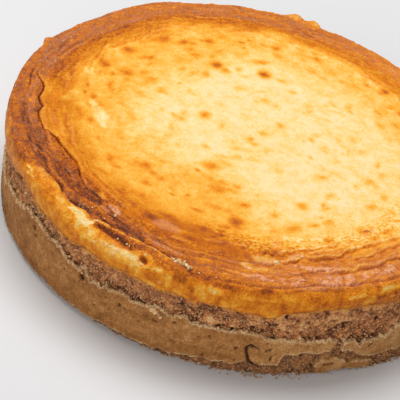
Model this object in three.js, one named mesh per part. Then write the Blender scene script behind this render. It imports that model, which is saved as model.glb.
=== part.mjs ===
// A whole New York cheesecake as it comes out of a springform tin, in millimetres, +Z up.
// The origin is the middle of the underside. Angles run counter-clockwise from +X in degrees,
// and the side at 270 degrees is the front.
// A cup of pressed biscuit crumb holds the filling, which has risen above it, browned round
// its rim and sunk a little in the middle.
import * as THREE from "three";

// Main sizes
const TIN_RADIUS = 120;
const CRUST_HEIGHT = 39;
const BASE_THICKNESS = 8;
const WALL_THICKNESS = 8;
const JOINT_GAP = 0.3;

// Points round the cake: each ring has this many, or a half or a quarter of it
const COLUMNS = 180;

// The smooth skin that was pressed against the tin stands proud of the torn crumb above it
const SKIN_PROUD = 1.7;
const SKIN_LIP = 0.5;
const CRUMB_ROUGHNESS = 0.7;
const FOOT_WORN = 1.8;
const FOOT_HEIGHT = 4;
const EDGE_RAGGED = 0.8;
const JOINT_RAGGED = 0.3;
const SKIN_UNEVEN = 0.15;
const SKIN_EDGE_HEIGHT = [
  [0, 24], [55, 27], [105, 25], [150, 29], [182, 27], [200, 19.5], [208, 24], [216, 26],
  [221, 30.5], [228, 29.5], [237, 26], [244, 24.5], [251, 26], [266, 27], [280, 26], [292, 22.5],
  [300, 21], [306, 17], [312, 19], [318, 21.5], [335, 21],
];

// At the front right the worn foot has slumped outwards
const FOOT_SPREAD = [[0, 0], [302, 0], [308, 2], [319, 4.4], [332, 3.4], [350, 0]];
const SPREAD_HEIGHT = 8;

// Places where the skin has flaked away or torn: angle, height, half width, half height, depth
const SKIN_SCARS = [
  { angle: 240, height: 23, wide: 2.5, tall: 4, depth: 2.4 },
  { angle: 289, height: 12, wide: 6, tall: 5, depth: 1.6 },
  { angle: 298, height: 15, wide: 4, tall: 6, depth: 1.8 },
  { angle: 281, height: 16, wide: 2.5, tall: 5, depth: 1 },
  { angle: 35, height: 12, wide: 5, tall: 5, depth: 1.5 },
  { angle: 118, height: 15, wide: 4, tall: 6, depth: 1.6 },
];

// The joint between crumb and filling wanders up and down round the side
const JOINT_WANDER = [
  [0, 0.6], [40, -0.8], [90, 0.6], [140, -0.5], [185, -1.5], [203, -2.3], [210, -0.4], [216, 1.8],
  [222, -0.4], [226, -1.4], [236, -2.8], [242, -0.6], [245, -2.1], [255, -1.1], [259.5, -2.3],
  [263, -1.2], [267, -2.2], [271, -1.3], [277, -2.3], [283, -3.2], [286.5, 0.2], [292, 1.9],
  [299, 2.3], [305, 1.8], [308, 1.1], [311, -0.2], [315, -0.9], [328, -0.4],
];

// The browned rim of the filling: its crest, and the two steps down to the sunken middle
const CREST_HEIGHT = [
  [0, 50.2], [45, 49.8], [75, 50.4], [100, 51.4], [112, 50.8], [126, 52.1], [146, 50.2],
  [168, 51.1], [188, 50.8], [212, 50], [240, 49.3], [262, 49.8], [290, 50.2], [325, 50],
];
const CREST_RADIUS = [
  [0, 116.5], [50, 117.8], [95, 119.6], [126, 119.8], [146, 118.6], [172, 119.2], [200, 118.8],
  [212, 117.6], [218, 114.6], [224, 112.8], [248, 112.2], [262, 113.5], [290, 114.8], [325, 115.5],
];
const RING_INNER_RADIUS = [
  [0, 103], [60, 104], [110, 105], [150, 106], [180, 107], [196, 105], [209, 99], [222, 98.5],
  [240, 97], [262, 95], [284, 95], [300, 98], [330, 101],
];
const PLATEAU_INNER_RADIUS = [
  [0, 90], [60, 92], [110, 94], [148, 95], [172, 88], [195, 86], [215, 87], [245, 85],
  [275, 84], [305, 85], [335, 88],
];

// The average height of the crest, and how far the top falls below it by steps and by sagging
const MIDDLE_HEIGHT = 50.2;
const RING_DROP = 1.4;
const PLATEAU_DROP = 1.5;
const CENTRE_SAG = 0.9;
const FLAT_RADIUS = 84;

// The valley inside the rim: a narrow crack at the left, a broad moat at the front
const CRACK = { from: 178, to: 230, fade: 8, depth: 1.5, halfWidth: 3.5 };
const MOAT = { from: 240, to: 286, fade: 14, depth: 1.7, halfWidth: 9 };

// Wrinkles that run round the front of the rim
const WRINKLES = { from: 238, to: 338, fade: 24, height: 0.55, spacing: 8.5, wander: 2.5 };
const FAINT_WRINKLE_HEIGHT = 0.2;

// The lip overhangs a fold at the front left, and a shallow crease at the front right
const FOLD = { from: 236, to: 258, fade: 6, depth: 1.8 };
const CREASE = { from: 268, to: 330, fade: 12, depth: 0.8 };
const SIDE_TUCK = 0.9;
const SIDE_UNEVEN = 0.2;

// Raised spots: blisters on the top, and crags that stick out of the rim
const BLISTERS = [
  { angle: 281, radius: 95.5, size: 5, height: 1.3 },
  { angle: 190, radius: 74, size: 9, height: 0.9 },
  { angle: 318.4, radius: 84, size: 4, height: 1 },
];
const CRAGS = [
  { angle: 86, wide: 4, out: 2.2, up: 2.4 },
  { angle: 81, wide: 3, out: 2.2, up: 2 },
  { angle: 163.5, wide: 2.6, out: 1.4, up: 1.5 },
  { angle: 262, wide: 4, out: 0.8, up: 0.8 },
];

const DEGREE = Math.PI / 180;

function smoothStep(from, to, x) {
  const t = Math.min(Math.max((x - from) / (to - from), 0), 1);
  return t * t * (3 - 2 * t);
}

function blend(a, b, t) {
  return a + (b - a) * t;
}

// The signed way round from one angle to another, between -180 and 180
function turn(from, to) {
  return ((((to - from) % 360) + 540) % 360) - 180;
}

// A value between stops of [angle, value], eased, that closes on itself round the cake
function around(stops, angle) {
  const last = stops.length - 1;
  let lower = last;
  for (let i = 0; i <= last; i += 1) {
    if (stops[i][0] <= angle) {
      lower = i;
    }
  }
  const upper = lower === last ? 0 : lower + 1;
  const width = lower === last ? 360 - stops[last][0] + stops[0][0] : stops[upper][0] - stops[lower][0];
  const along = (angle - stops[lower][0]) / width;
  return blend(stops[lower][1], stops[upper][1], smoothStep(0, 1, along));
}

// 1 inside a stretch of the rim and 0 outside, with soft ends
function stretch(angle, { from, to, fade }) {
  const middle = (from + to) / 2;
  const half = (to - from) / 2;
  return 1 - smoothStep(half - fade / 2, half + fade / 2, Math.abs(turn(middle, angle)));
}

// A round hump: 1 at the middle and 0 from a distance of 1 on
function hump(x, y = 0) {
  return 1 - smoothStep(0, 1, Math.hypot(x, y));
}

// Repeatable noise between -1 and 1 on a lattice that closes round the cake
function latticeValue(column, row, seed) {
  const spread = Math.sin(column * 127.1 + row * 311.7 + seed * 74.7) * 43758.5453;
  return 2 * (spread - Math.floor(spread)) - 1;
}

function noise(angle, distance, { cells, grain, seed }) {
  const u = (angle / 360) * cells;
  const v = distance / grain;
  const column = Math.floor(u);
  const row = Math.floor(v);
  const tu = smoothStep(0, 1, u - column);
  const tv = smoothStep(0, 1, v - row);
  const at = (i, j) => latticeValue((column + i) % cells, row + j, seed);
  return blend(blend(at(0, 0), at(1, 0), tu), blend(at(0, 1), at(1, 1), tu), tv);
}

// The same noise on a square lattice over the top
function flatNoise(x, y, { grain, seed }) {
  const column = Math.floor(x / grain);
  const row = Math.floor(y / grain);
  const tx = smoothStep(0, 1, x / grain - column);
  const ty = smoothStep(0, 1, y / grain - row);
  const at = (i, j) => latticeValue(column + i, row + j, seed);
  return blend(blend(at(0, 0), at(1, 0), tx), blend(at(0, 1), at(1, 1), tx), ty);
}

const CRUMB_NOISE = { cells: 84, grain: 5, seed: 3 };
const FOOT_NOISE = { cells: 70, grain: 3, seed: 8 };
const EDGE_NOISE = { cells: 60, grain: 1, seed: 5 };
const SOFT_NOISE = { cells: 16, grain: 26, seed: 11 };
const SWELL_NOISE = { grain: 32, seed: 17, height: 0.35 };
const WRINKLE_NOISE = { cells: 26, grain: 14, seed: 14 };

function jointHeight(angle) {
  return CRUST_HEIGHT + around(JOINT_WANDER, angle) + JOINT_RAGGED * noise(angle, 0, EDGE_NOISE);
}

function skinEdgeHeight(angle) {
  return around(SKIN_EDGE_HEIGHT, angle) + EDGE_RAGGED * noise(angle, 9, EDGE_NOISE);
}

// How deep the skin has flaked away at a place on the side
function scarDepth(angle, height) {
  let depth = 0;
  for (const scar of SKIN_SCARS) {
    const across = turn(scar.angle, angle) / scar.wide;
    const along = (height - scar.height) / scar.tall;
    depth = Math.max(depth, scar.depth * hump(across, along));
  }
  return depth;
}

function skinRadius(angle, height) {
  const worn = FOOT_WORN * (1 - smoothStep(0, FOOT_HEIGHT, height));
  const chipped = worn * (0.7 + 0.5 * noise(angle, height, FOOT_NOISE));
  const spread = around(FOOT_SPREAD, angle) * (1 - smoothStep(0, SPREAD_HEIGHT, height));
  const uneven = SKIN_UNEVEN * noise(angle, height, SOFT_NOISE);
  return TIN_RADIUS - chipped + spread - scarDepth(angle, height) + uneven;
}

function tornRadius(angle, height, upTheBand) {
  const setBack = SKIN_PROUD * (1 - 0.5 * upTheBand);
  return TIN_RADIUS - setBack + CRUMB_ROUGHNESS * noise(angle, height, CRUMB_NOISE);
}

// One ring of points whose radius and height are functions of the angle
function ring(count, place) {
  const points = [];
  for (let i = 0; i < count; i += 1) {
    const angle = (i * 360) / count;
    const [radius, height] = place(angle);
    points.push([radius * Math.cos(angle * DEGREE), radius * Math.sin(angle * DEGREE), height]);
  }
  return points;
}

// A closed body from rings that start and end at a point on the axis.
// Neighbouring rings have equal counts, or one has half of the other's.
function bodyFromRings(startHeight, rings, endHeight) {
  const positions = [0, 0, startHeight];
  const starts = [];
  for (const points of rings) {
    starts.push(positions.length / 3);
    positions.push(...points.flat());
  }
  const end = positions.length / 3;
  positions.push(0, 0, endHeight);

  const faces = [];
  const first = rings[0].length;
  for (let i = 0; i < first; i += 1) {
    faces.push(0, starts[0] + ((i + 1) % first), starts[0] + i);
  }
  for (let k = 0; k + 1 < rings.length; k += 1) {
    joinRings(faces, starts[k], rings[k].length, starts[k + 1], rings[k + 1].length);
  }
  const last = rings.length - 1;
  const count = rings[last].length;
  for (let i = 0; i < count; i += 1) {
    faces.push(end, starts[last] + i, starts[last] + ((i + 1) % count));
  }

  const geometry = new THREE.BufferGeometry();
  geometry.setAttribute("position", new THREE.Float32BufferAttribute(positions, 3));
  geometry.setIndex(faces);
  geometry.computeVertexNormals();
  return geometry;
}

// The triangles between a lower ring and the next one up
function joinRings(faces, lower, lowerCount, upper, upperCount) {
  const steps = Math.min(lowerCount, upperCount);
  const lowerRatio = lowerCount / steps;
  const upperRatio = upperCount / steps;
  for (let i = 0; i < steps; i += 1) {
    const a = lower + i * lowerRatio;
    const b = lower + ((i + 1) % steps) * lowerRatio;
    const c = upper + i * upperRatio;
    const d = upper + ((i + 1) % steps) * upperRatio;
    if (lowerRatio === 2) {
      faces.push(a, a + 1, c, a + 1, d, c, a + 1, b, d);
    } else if (upperRatio === 2) {
      faces.push(a, c + 1, c, a, b, c + 1, b, d, c + 1);
    } else {
      faces.push(a, b, d, a, d, c);
    }
  }
}

// The crumb cup: underside, foot, smooth skin, torn band, top edge, then down the inside
function crumbCrust() {
  const skinHeights = [0, 1.6, FOOT_HEIGHT];
  const skinShares = [0.38, 0.56, 0.72, 0.86, 1];
  const tornShares = [0.04, 0.25, 0.5, 0.75, 1];
  const rings = [];
  for (const height of skinHeights) {
    rings.push(ring(COLUMNS, (angle) => [skinRadius(angle, height), height]));
  }
  for (const share of skinShares) {
    rings.push(ring(COLUMNS, (angle) => {
      const height = share * skinEdgeHeight(angle);
      return [skinRadius(angle, height), height];
    }));
  }
  for (const share of tornShares) {
    rings.push(ring(COLUMNS, (angle) => {
      const bottom = skinEdgeHeight(angle) + SKIN_LIP;
      const height = blend(bottom, jointHeight(angle), share);
      return [tornRadius(angle, height, share), height];
    }));
  }
  const inner = TIN_RADIUS - WALL_THICKNESS;
  rings.push(ring(COLUMNS / 2, (angle) => [inner, jointHeight(angle)]));
  rings.push(ring(COLUMNS / 2, () => [inner, BASE_THICKNESS]));
  return bodyFromRings(0, rings, BASE_THICKNESS);
}

// The depth of the valley that runs inside the rim
function valleyDepth(angle, radius) {
  const offset = radius - around(RING_INNER_RADIUS, angle);
  const crack = CRACK.depth * stretch(angle, CRACK) * hump(offset / CRACK.halfWidth);
  const moat = MOAT.depth * stretch(angle, MOAT) * hump(offset / MOAT.halfWidth);
  return crack + moat;
}

function wrinkleHeight(angle, radius) {
  const height = blend(FAINT_WRINKLE_HEIGHT, WRINKLES.height, stretch(angle, WRINKLES));
  const wandered = radius + WRINKLES.wander * noise(angle, radius, WRINKLE_NOISE);
  const inRim = smoothStep(FLAT_RADIUS - 6, FLAT_RADIUS + 6, radius);
  return height * inRim * Math.sin((wandered / WRINKLES.spacing) * 2 * Math.PI);
}

function blisterHeight(angle, radius) {
  let height = 0;
  for (const blister of BLISTERS) {
    const across = turn(blister.angle, angle) * DEGREE * blister.radius;
    height += blister.height * hump(across / blister.size, (radius - blister.radius) / blister.size);
  }
  return height;
}

// Height of the top inside the crest
function topHeight(angle, radius) {
  const crest = around(CREST_RADIUS, angle);
  const ringEnd = around(RING_INNER_RADIUS, angle);
  const plateauEnd = around(PLATEAU_INNER_RADIUS, angle);
  const ringDrop = RING_DROP * (1 - smoothStep(ringEnd - 3, crest, radius));
  const plateauDrop = PLATEAU_DROP * (1 - smoothStep(plateauEnd - 6, plateauEnd + 6, radius));
  const sag = CENTRE_SAG * Math.max(1 - (radius / FLAT_RADIUS) ** 2, 0);
  const relief = wrinkleHeight(angle, radius) * smoothStep(crest, crest - 5, radius);
  const swell = SWELL_NOISE.height * flatNoise(
    radius * Math.cos(angle * DEGREE),
    radius * Math.sin(angle * DEGREE),
    SWELL_NOISE,
  );
  const rimHeight = blend(MIDDLE_HEIGHT, around(CREST_HEIGHT, angle), smoothStep(20, FLAT_RADIUS, radius));
  return rimHeight - ringDrop - plateauDrop - sag - valleyDepth(angle, radius)
    + relief + swell + blisterHeight(angle, radius);
}

// The rounded edge between the side of the filling and its crest, from 0 at the side to 1
function shoulder(angle, share) {
  const crestRadius = around(CREST_RADIUS, angle);
  const crestHeight = topHeight(angle, crestRadius);
  const springHeight = blend(jointHeight(angle), crestHeight, 0.5);
  const bend = share * 90 * DEGREE;
  const middle = Math.sin(share * Math.PI);
  const dent = middle * (FOLD.depth * stretch(angle, FOLD) + CREASE.depth * stretch(angle, CREASE));
  let radius = crestRadius + (TIN_RADIUS - crestRadius) * Math.cos(bend) - dent;
  let height = springHeight + (crestHeight - springHeight) * Math.sin(bend) - 0.3 * dent;
  for (const crag of CRAGS) {
    const near = hump(turn(crag.angle, angle) / crag.wide) * smoothStep(0.2, 0.7, share);
    radius += crag.out * near;
    height += crag.up * near;
  }
  return [radius, height];
}

// The filling: core inside the cup, ledge over the crumb wall, side, shoulder and top
function cheeseFilling() {
  const coreRadius = TIN_RADIUS - WALL_THICKNESS - JOINT_GAP;
  const coreBottom = BASE_THICKNESS + JOINT_GAP;
  const sideShares = [0, 0.35, 0.7];
  const shoulderShares = [0, 0.3, 0.55, 0.78, 1];
  const rimSteps = 11;
  const middleRings = [
    [COLUMNS / 2, 79], [COLUMNS / 2, 72], [COLUMNS / 2, 63],
    [COLUMNS / 4, 53], [COLUMNS / 4, 42], [COLUMNS / 4, 30], [COLUMNS / 4, 16],
  ];
  const ledgeHeight = (angle) => jointHeight(angle) + JOINT_GAP;
  const rings = [];
  rings.push(ring(COLUMNS / 2, () => [coreRadius, coreBottom]));
  rings.push(ring(COLUMNS / 2, (angle) => [coreRadius, ledgeHeight(angle)]));
  for (const share of sideShares) {
    rings.push(ring(COLUMNS, (angle) => {
      const [springRadius, springHeight] = shoulder(angle, 0);
      const tuck = SIDE_TUCK * (1 - Math.sin(share * 90 * DEGREE));
      const uneven = SIDE_UNEVEN * noise(angle, share * 9, CRUMB_NOISE);
      return [springRadius - tuck - uneven, blend(ledgeHeight(angle), springHeight, share)];
    }));
  }
  for (const share of shoulderShares) {
    rings.push(ring(COLUMNS, (angle) => shoulder(angle, share)));
  }
  for (let step = 1; step <= rimSteps; step += 1) {
    rings.push(ring(COLUMNS, (angle) => {
      const radius = blend(around(CREST_RADIUS, angle), FLAT_RADIUS, step / rimSteps);
      return [radius, topHeight(angle, radius)];
    }));
  }
  for (const [count, radius] of middleRings) {
    rings.push(ring(count, (angle) => [radius, topHeight(angle, radius)]));
  }
  return bodyFromRings(coreBottom, rings, topHeight(0, 0));
}

const crumbMaterial = new THREE.MeshStandardMaterial({ color: 0x8f6238, roughness: 0.9, metalness: 0 });
const bakedMaterial = new THREE.MeshStandardMaterial({ color: 0xf0a848, roughness: 0.42, metalness: 0 });

function part(name, geometry, material) {
  const mesh = new THREE.Mesh(geometry, material);
  mesh.name = name;
  return mesh;
}

const cheesecake = new THREE.Group();
cheesecake.add(part("crumb_crust", crumbCrust(), crumbMaterial));
cheesecake.add(part("cheese_filling", cheeseFilling(), bakedMaterial));

export default cheesecake;
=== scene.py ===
# %% [markdown]
# A whole New York cheesecake. The real cake is a cup of pressed biscuit crumb with a baked
# filling: a smooth tan skin where the crumb met the tin, torn porous crumb above it, a golden
# band of filling, and a browned and wrinkled rim round a pale cream middle. The solids of the
# packed model give the sizes. Here each piece is made again with the fine surface of the food.

# %% Load the packed model
import math
from itertools import product
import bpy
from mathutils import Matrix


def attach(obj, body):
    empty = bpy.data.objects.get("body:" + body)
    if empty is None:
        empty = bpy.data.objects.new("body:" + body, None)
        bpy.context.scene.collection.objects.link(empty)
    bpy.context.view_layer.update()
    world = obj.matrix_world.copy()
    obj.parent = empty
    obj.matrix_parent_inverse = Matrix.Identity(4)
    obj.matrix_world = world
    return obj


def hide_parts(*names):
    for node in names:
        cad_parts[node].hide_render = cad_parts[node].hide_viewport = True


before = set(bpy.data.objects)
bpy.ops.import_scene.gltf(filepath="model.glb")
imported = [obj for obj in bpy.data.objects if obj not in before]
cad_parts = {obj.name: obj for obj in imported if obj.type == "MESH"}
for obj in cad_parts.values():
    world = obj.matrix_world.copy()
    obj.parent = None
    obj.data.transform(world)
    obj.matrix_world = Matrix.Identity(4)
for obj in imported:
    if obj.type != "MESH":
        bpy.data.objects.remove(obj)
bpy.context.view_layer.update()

from types import SimpleNamespace

import bmesh
import bpy
import numpy as np
from mathutils import Matrix, Vector

MM = 0.001

# %% [markdown]
# The camera comes first, so that every later look is from the right place. It is given as a
# photographer would: how far from the middle of the cake's foot, how high, and how it is turned.
# The photo was taken with the camera tilted sideways, which is the roll. A long lens keeps the
# far rim almost as large as the near one.

# %% Camera
IMAGE_PIXELS = 400
FOCAL_PIXELS = 1301.3
SENSOR_WIDTH = 36.0
CAMERA_DISTANCE = 0.6759
CAMERA_ELEVATION = math.radians(37.38)
CAMERA_YAW = math.radians(-1.51)
CAMERA_ROLL = math.radians(12.84)


def add_camera():
    """A camera in front of the cake that looks down on it and is turned by yaw and roll."""
    right = Vector((1, 0, 0))
    forward = Vector((0, math.cos(CAMERA_ELEVATION), -math.sin(CAMERA_ELEVATION)))
    look = forward * math.cos(CAMERA_YAW) + right * math.sin(CAMERA_YAW)
    level = look.cross(Vector((0, 0, 1))).normalized()
    above = level.cross(look)
    across = level * math.cos(CAMERA_ROLL) + above * math.sin(CAMERA_ROLL)
    upward = above * math.cos(CAMERA_ROLL) - level * math.sin(CAMERA_ROLL)
    data = bpy.data.cameras.new("camera")
    data.sensor_width = SENSOR_WIDTH
    data.lens = SENSOR_WIDTH * FOCAL_PIXELS / IMAGE_PIXELS
    camera = bpy.data.objects.new("camera", data)
    turned = Matrix((across, upward, -look)).transposed().to_4x4()
    camera.matrix_world = Matrix.Translation(-forward * CAMERA_DISTANCE) @ turned
    bpy.context.scene.collection.objects.link(camera)
    bpy.context.scene.camera = camera
    return camera


camera = add_camera()
print("camera at", [round(value, 3) for value in camera.matrix_world.translation])

# %% [markdown]
# Every size that varies round the cake is a short list of stops, each an angle in degrees and a
# value, with an eased curve between them. The same few helpers then serve the rim, the crumb and
# the colours. They work on whole arrays of angles at once, because a loop over a hundred thousand
# points would be slow in Python.

# %% Values round the cake


def smooth_step(start, end, x):
    t = np.clip((x - start) / (end - start), 0, 1)
    return t * t * (3 - 2 * t)


def blend(a, b, t):
    return a + (b - a) * t


def turn(start, end):
    """The signed way round from one angle to another, between -180 and 180."""
    return (end - start + 180) % 360 - 180


def around(stops, angle):
    """A value between stops of (angle, value), eased, that closes on itself round the cake."""
    places = np.array([place for place, _ in stops] + [stops[0][0] + 360.0])
    values = np.array([value for _, value in stops] + [stops[0][1]])
    wrapped = (angle - places[0]) % 360 + places[0]
    lower = np.clip(np.searchsorted(places, wrapped, side="right") - 1, 0, len(stops) - 1)
    along = (wrapped - places[lower]) / (places[lower + 1] - places[lower])
    return blend(values[lower], values[lower + 1], smooth_step(0, 1, along))


def stretch(angle, start, end, fade):
    """1 inside a stretch of the cake's round and 0 outside, with soft ends."""
    half = (end - start) / 2
    return 1 - smooth_step(half - fade / 2, half + fade / 2, np.abs(turn((start + end) / 2, angle)))


def hump(x, y=0.0):
    """A round hump: 1 in the middle and 0 from a distance of 1 on."""
    return 1 - smooth_step(0, 1, np.hypot(x, y))


def bell(x):
    return np.exp(-x * x)


print("from 350 to 10 degrees is a turn of", turn(350, 10), "degrees")

# %% [markdown]
# Baked food is uneven at every scale. Two kinds of repeatable noise cover it. Smooth grain, a
# value on each corner of a lattice with eased values between, makes swells and roughness. The
# distance to scattered seeds makes pores, pits and crumbs. Both are hashed from whole numbers, so
# the cake comes out the same each time.

# %% Noise for swells, grains and pores
HASH_FACTORS = (374761393, 668265263, 1103515245, 362437)
HASH_MIX = 1274126177
HASH_BITS = 0xFFFFFFFF
HASH_STEPS = 0xFFFFFF


def scatter(i, j, k, seed):
    """A repeatable value from 0 to 1 for each cell of a lattice."""
    n = sum(factor * part for factor, part in zip(HASH_FACTORS, (i, j, k, seed))) & HASH_BITS
    n = ((n ^ (n >> 13)) * HASH_MIX) & HASH_BITS
    return ((n ^ (n >> 16)) & HASH_STEPS) / HASH_STEPS


def grain(points, size, seed):
    """Smooth noise from -1 to 1 whose swells are about as wide as size."""
    cell = np.floor(points / size).astype(np.int64)
    part = points / size - cell
    ease = part ** 3 * (part * (6 * part - 15) + 10)
    total = np.zeros(len(points))
    for corner in product((0, 1), repeat=3):
        weight = np.prod(np.where(corner, ease, 1 - ease), axis=1)
        total += weight * scatter(*(cell + corner).T, seed)
    return 2 * total - 1


def roughness(points, size, seed, octaves=3):
    """Grain on grain: each octave is half as wide and just over half as strong."""
    total = np.zeros(len(points))
    for octave in range(octaves):
        total += 0.55 ** octave * grain(points, size / 2 ** octave, seed + 31 * octave)
    return total


def layers(points, *grades):
    """Grains laid on each other, each given by its strength, its width and its seed."""
    return sum(strength * grain(points, size, seed) for strength, size, seed in grades)


def nearest_seed(points, size, seed):
    """The distance to the nearest of scattered seeds, in sizes, and that seed's own value."""
    cell = np.floor(points / size).astype(np.int64)
    nearest = np.full(len(points), 9.0)
    own = np.zeros(len(points))
    for step in product((-1, 0, 1), repeat=3):
        i, j, k = (cell + step).T
        jitter = np.stack([scatter(i, j, k, seed + axis) for axis in range(3)], axis=1)
        gap = np.linalg.norm(cell + step + jitter - points / size, axis=1)
        own = np.where(gap < nearest, scatter(i, j, k, seed + 3), own)
        nearest = np.minimum(nearest, gap)
    return nearest, own


probe = grain(np.linspace((0, 0, 0), (90, 60, 30), 500), 7, 5)
print("grain runs from", round(probe.min(), 2), "to", round(probe.max(), 2))

# %% [markdown]
# The main form repeats the packed solids: the radius of the tin, the height of the crumb wall,
# the crest of the rim, and the ring, valley and plateau inside it. They are repeated as numbers
# and formulas and not read from the solids, because those have flat faces and this surface is
# to be smooth.

# %% The cake's main form, in millimetres
TIN_RADIUS = 120.0
CRUST_HEIGHT = 39.0
BASE_THICKNESS = 8.0
WALL_INNER_RADIUS = 112.0
MIDDLE_HEIGHT = 50.2
FLAT_RADIUS = 84.0

# How far the joint of crumb and filling lies above the mean height of the crust: angle, value
JOINT_WANDER = [
    (0, 0.6), (40, -0.8), (90, 0.6), (140, -0.5), (185, -1.5), (203, -2.3), (210, -0.4), (216, 1.8),
    (222, -0.4), (226, -1.4), (236, -2.8), (242, -0.6), (245, -2.1), (255, -1.1), (259.5, -2.3),
    (263, -1.2), (267, -2.2), (271, -1.3), (277, -2.3), (283, -3.2), (286.5, 0.2), (292, 1.9), (299, 2.3),
    (305, 1.8), (308, 1.1), (311, -0.2), (315, -0.9), (328, -0.4),
]

# Height and radius of the rim's crest, then the inner ends of the ring and of the plateau
CREST_HEIGHT = [
    (0, 50.2), (45, 49.8), (75, 50.4), (100, 51.4), (112, 50.8), (126, 52.1), (146, 50.2), (168, 51.1),
    (188, 50.8), (212, 50), (240, 49.3), (262, 49.8), (290, 50.2), (325, 50),
]
CREST_RADIUS = [
    (0, 116.5), (50, 117.8), (95, 119.6), (126, 119.8), (146, 118.6), (172, 119.2), (200, 118.8),
    (212, 117.6), (218, 114.6), (224, 112.8), (248, 112.2), (262, 113.5), (290, 114.8), (325, 115.5),
]
RING_INNER_RADIUS = [
    (0, 103), (60, 104), (110, 105), (150, 106), (180, 107), (196, 105), (209, 99), (222, 98.5),
    (240, 97), (262, 95), (284, 95), (300, 98), (330, 101),
]
PLATEAU_INNER_RADIUS = [
    (0, 90), (60, 92), (110, 94), (148, 95), (172, 88), (195, 86), (215, 87), (245, 85), (275, 84),
    (305, 85), (335, 88),
]


def joint_height(angle):
    """Where the crumb ends and the filling begins, on the side."""
    ragged = layers(round_points(angle, 0), (0.35, 7, 5), (0.21, 2.6, 6))
    return CRUST_HEIGHT + around(JOINT_WANDER, angle) + ragged


def round_points(angle, height, radius=TIN_RADIUS):
    """Points in space for angles, a radius and a height."""
    bearing = np.radians(angle)
    x = radius * np.cos(bearing)
    y = radius * np.sin(bearing)
    return np.stack(np.broadcast_arrays(x, y, height), axis=-1).astype(float)


print("crest of the rim, mm:", min(h for _, h in CREST_HEIGHT), "to", max(h for _, h in CREST_HEIGHT))

# %% [markdown]
# The rim has cracks and creases where the risen filling sank and folded. Each is a line of a few
# (angle, radius) stops with a width, a depth and a step: the side towards the middle may stand
# higher, as a broken edge does. Drawing them as lines, and not as noise, puts them where they
# are on the real cake. Short random ones are added in the same way.

# %% Cracks and creases of the top
# Each crease: width, depth, step, how dark (painted shade in its groove), how pale (painted highlight on
# its lip), and its line of (angle, radius)
CREASES = [
    (0.34, 1.5, 0.35, 1, 0.15, [(177.5, 112), (179.5, 110.5), (181, 107), (183, 105.4), (188, 106.3),
        (190, 105.5), (192.2, 103.8), (195, 105.9), (199, 105), (202.5, 104.3), (203.7, 101.6),
        (206, 98.9), (210.6, 97.4), (213.9, 96.2), (217.3, 95.6), (221, 96.6), (224, 98.4)]),
    (0.5, 0.6, 0.2, 0.45, 0.2, [(223, 98), (227.7, 100.1), (231, 100.5), (235, 98)]),
    (0.35, 0.6, 0.1, 0.7, 0, [(175.5, 114.2), (179, 113.8), (185, 112)]),
    (0.45, 0.9, 0.3, 0.7, 0, [(205, 113), (208, 112), (210, 109.8), (212, 108.6)]),
    (0.5, 1.5, 0.7, 1, 0.2, [(211.6, 111), (215.6, 109.6), (218.8, 110.8), (222, 111.4), (225, 111.2),
        (228.7, 112.8), (231.5, 112.8), (235, 111.5), (237.5, 110.5)]),
    (0.7, 0.5, 0.2, 0.3, 0.1, [(149, 99), (153, 97.2), (160, 92.8), (163, 92.5), (168, 89.6),
        (176, 86.5)]),
    (0.5, 0.9, -0.7, 0.8, 0, [(236.5, 107.4), (241, 109.2), (244.7, 109.8), (246.4, 109), (250, 109.4),
        (253.8, 109.2), (256.6, 110.4), (260, 111), (264, 112)]),
    (0.8, 0.9, -0.2, 0.5, 0, [(262, 115.2), (275, 116), (285, 115.4), (292, 113), (296, 114),
        (302, 114.8), (304, 114.2), (308, 115.4), (312, 115.2), (330, 115)]),
    (0.45, 1, 0.9, 0.6, 0.5, [(296.2, 107.2), (298.5, 106.3), (302.3, 106.3), (303.5, 106.8),
        (304.8, 105.5), (305.9, 104.5), (308.1, 105.9), (311, 106.5), (312.7, 105.3), (315.6, 104.9),
        (322, 106.5), (332, 107.5)]),
    (0.45, 0.9, 0.9, 0.55, 0.5, [(292.2, 92.7), (294, 94.5), (295.2, 95.7), (300.2, 95.8), (303.2, 94.8),
        (306.7, 93), (309, 92.5), (314, 92.7), (322, 95), (330, 96)]),
    (0.45, 0.9, 0.9, 0.6, 0.9, [(279, 100), (282.6, 99.5), (284.5, 97.8), (288.1, 96.6), (290.2, 95),
        (292.6, 93)]),
    (0.5, 1, 0, 0.7, 0.9, [(278.6, 96.4), (280.6, 98.2), (282.4, 99.2), (284.2, 98.8), (286.2, 96.4)]),
    (0.5, 0.8, 0, 0.5, 0, [(278.6, 94.2), (280.6, 92.4), (282.4, 91.4), (284.2, 92), (286.2, 94)]),
    (0.4, 0.6, 0.6, 0.5, 0.5, [(284.5, 92), (287, 91.4), (290.9, 89.3), (293.8, 88.4), (297.2, 88.6),
        (300, 88), (301, 89.2), (303.3, 87.9), (306, 86)]),
    (0.5, 0.8, 0.5, 0.5, 0.3, [(285, 104.5), (288, 106), (290.5, 105), (294, 104), (297.5, 104.6),
        (300, 104)]),
    (0.5, 0.5, 0.3, 0.4, 0.3, [(305, 99), (308, 97.5), (312, 98.5), (318, 98), (325, 100)]),
    (0.6, 0.4, 0.3, 0.3, 0.2, [(240, 99.5), (250, 103.5), (258, 104), (268, 102.5), (278, 104)]),
    (0.4, 0.4, 0.2, 0.5, 0.1, [(239, 104), (243, 104.6), (247, 103.2), (252, 105.5)]),
    (0.4, 0.5, 0.2, 0.45, 0.3, [(270, 109.5), (276, 110.6), (282, 109.4), (288, 110.4), (292, 111.1)]),
]
SHORT_CREASES = 110
CREASE_REACH = 12


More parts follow.
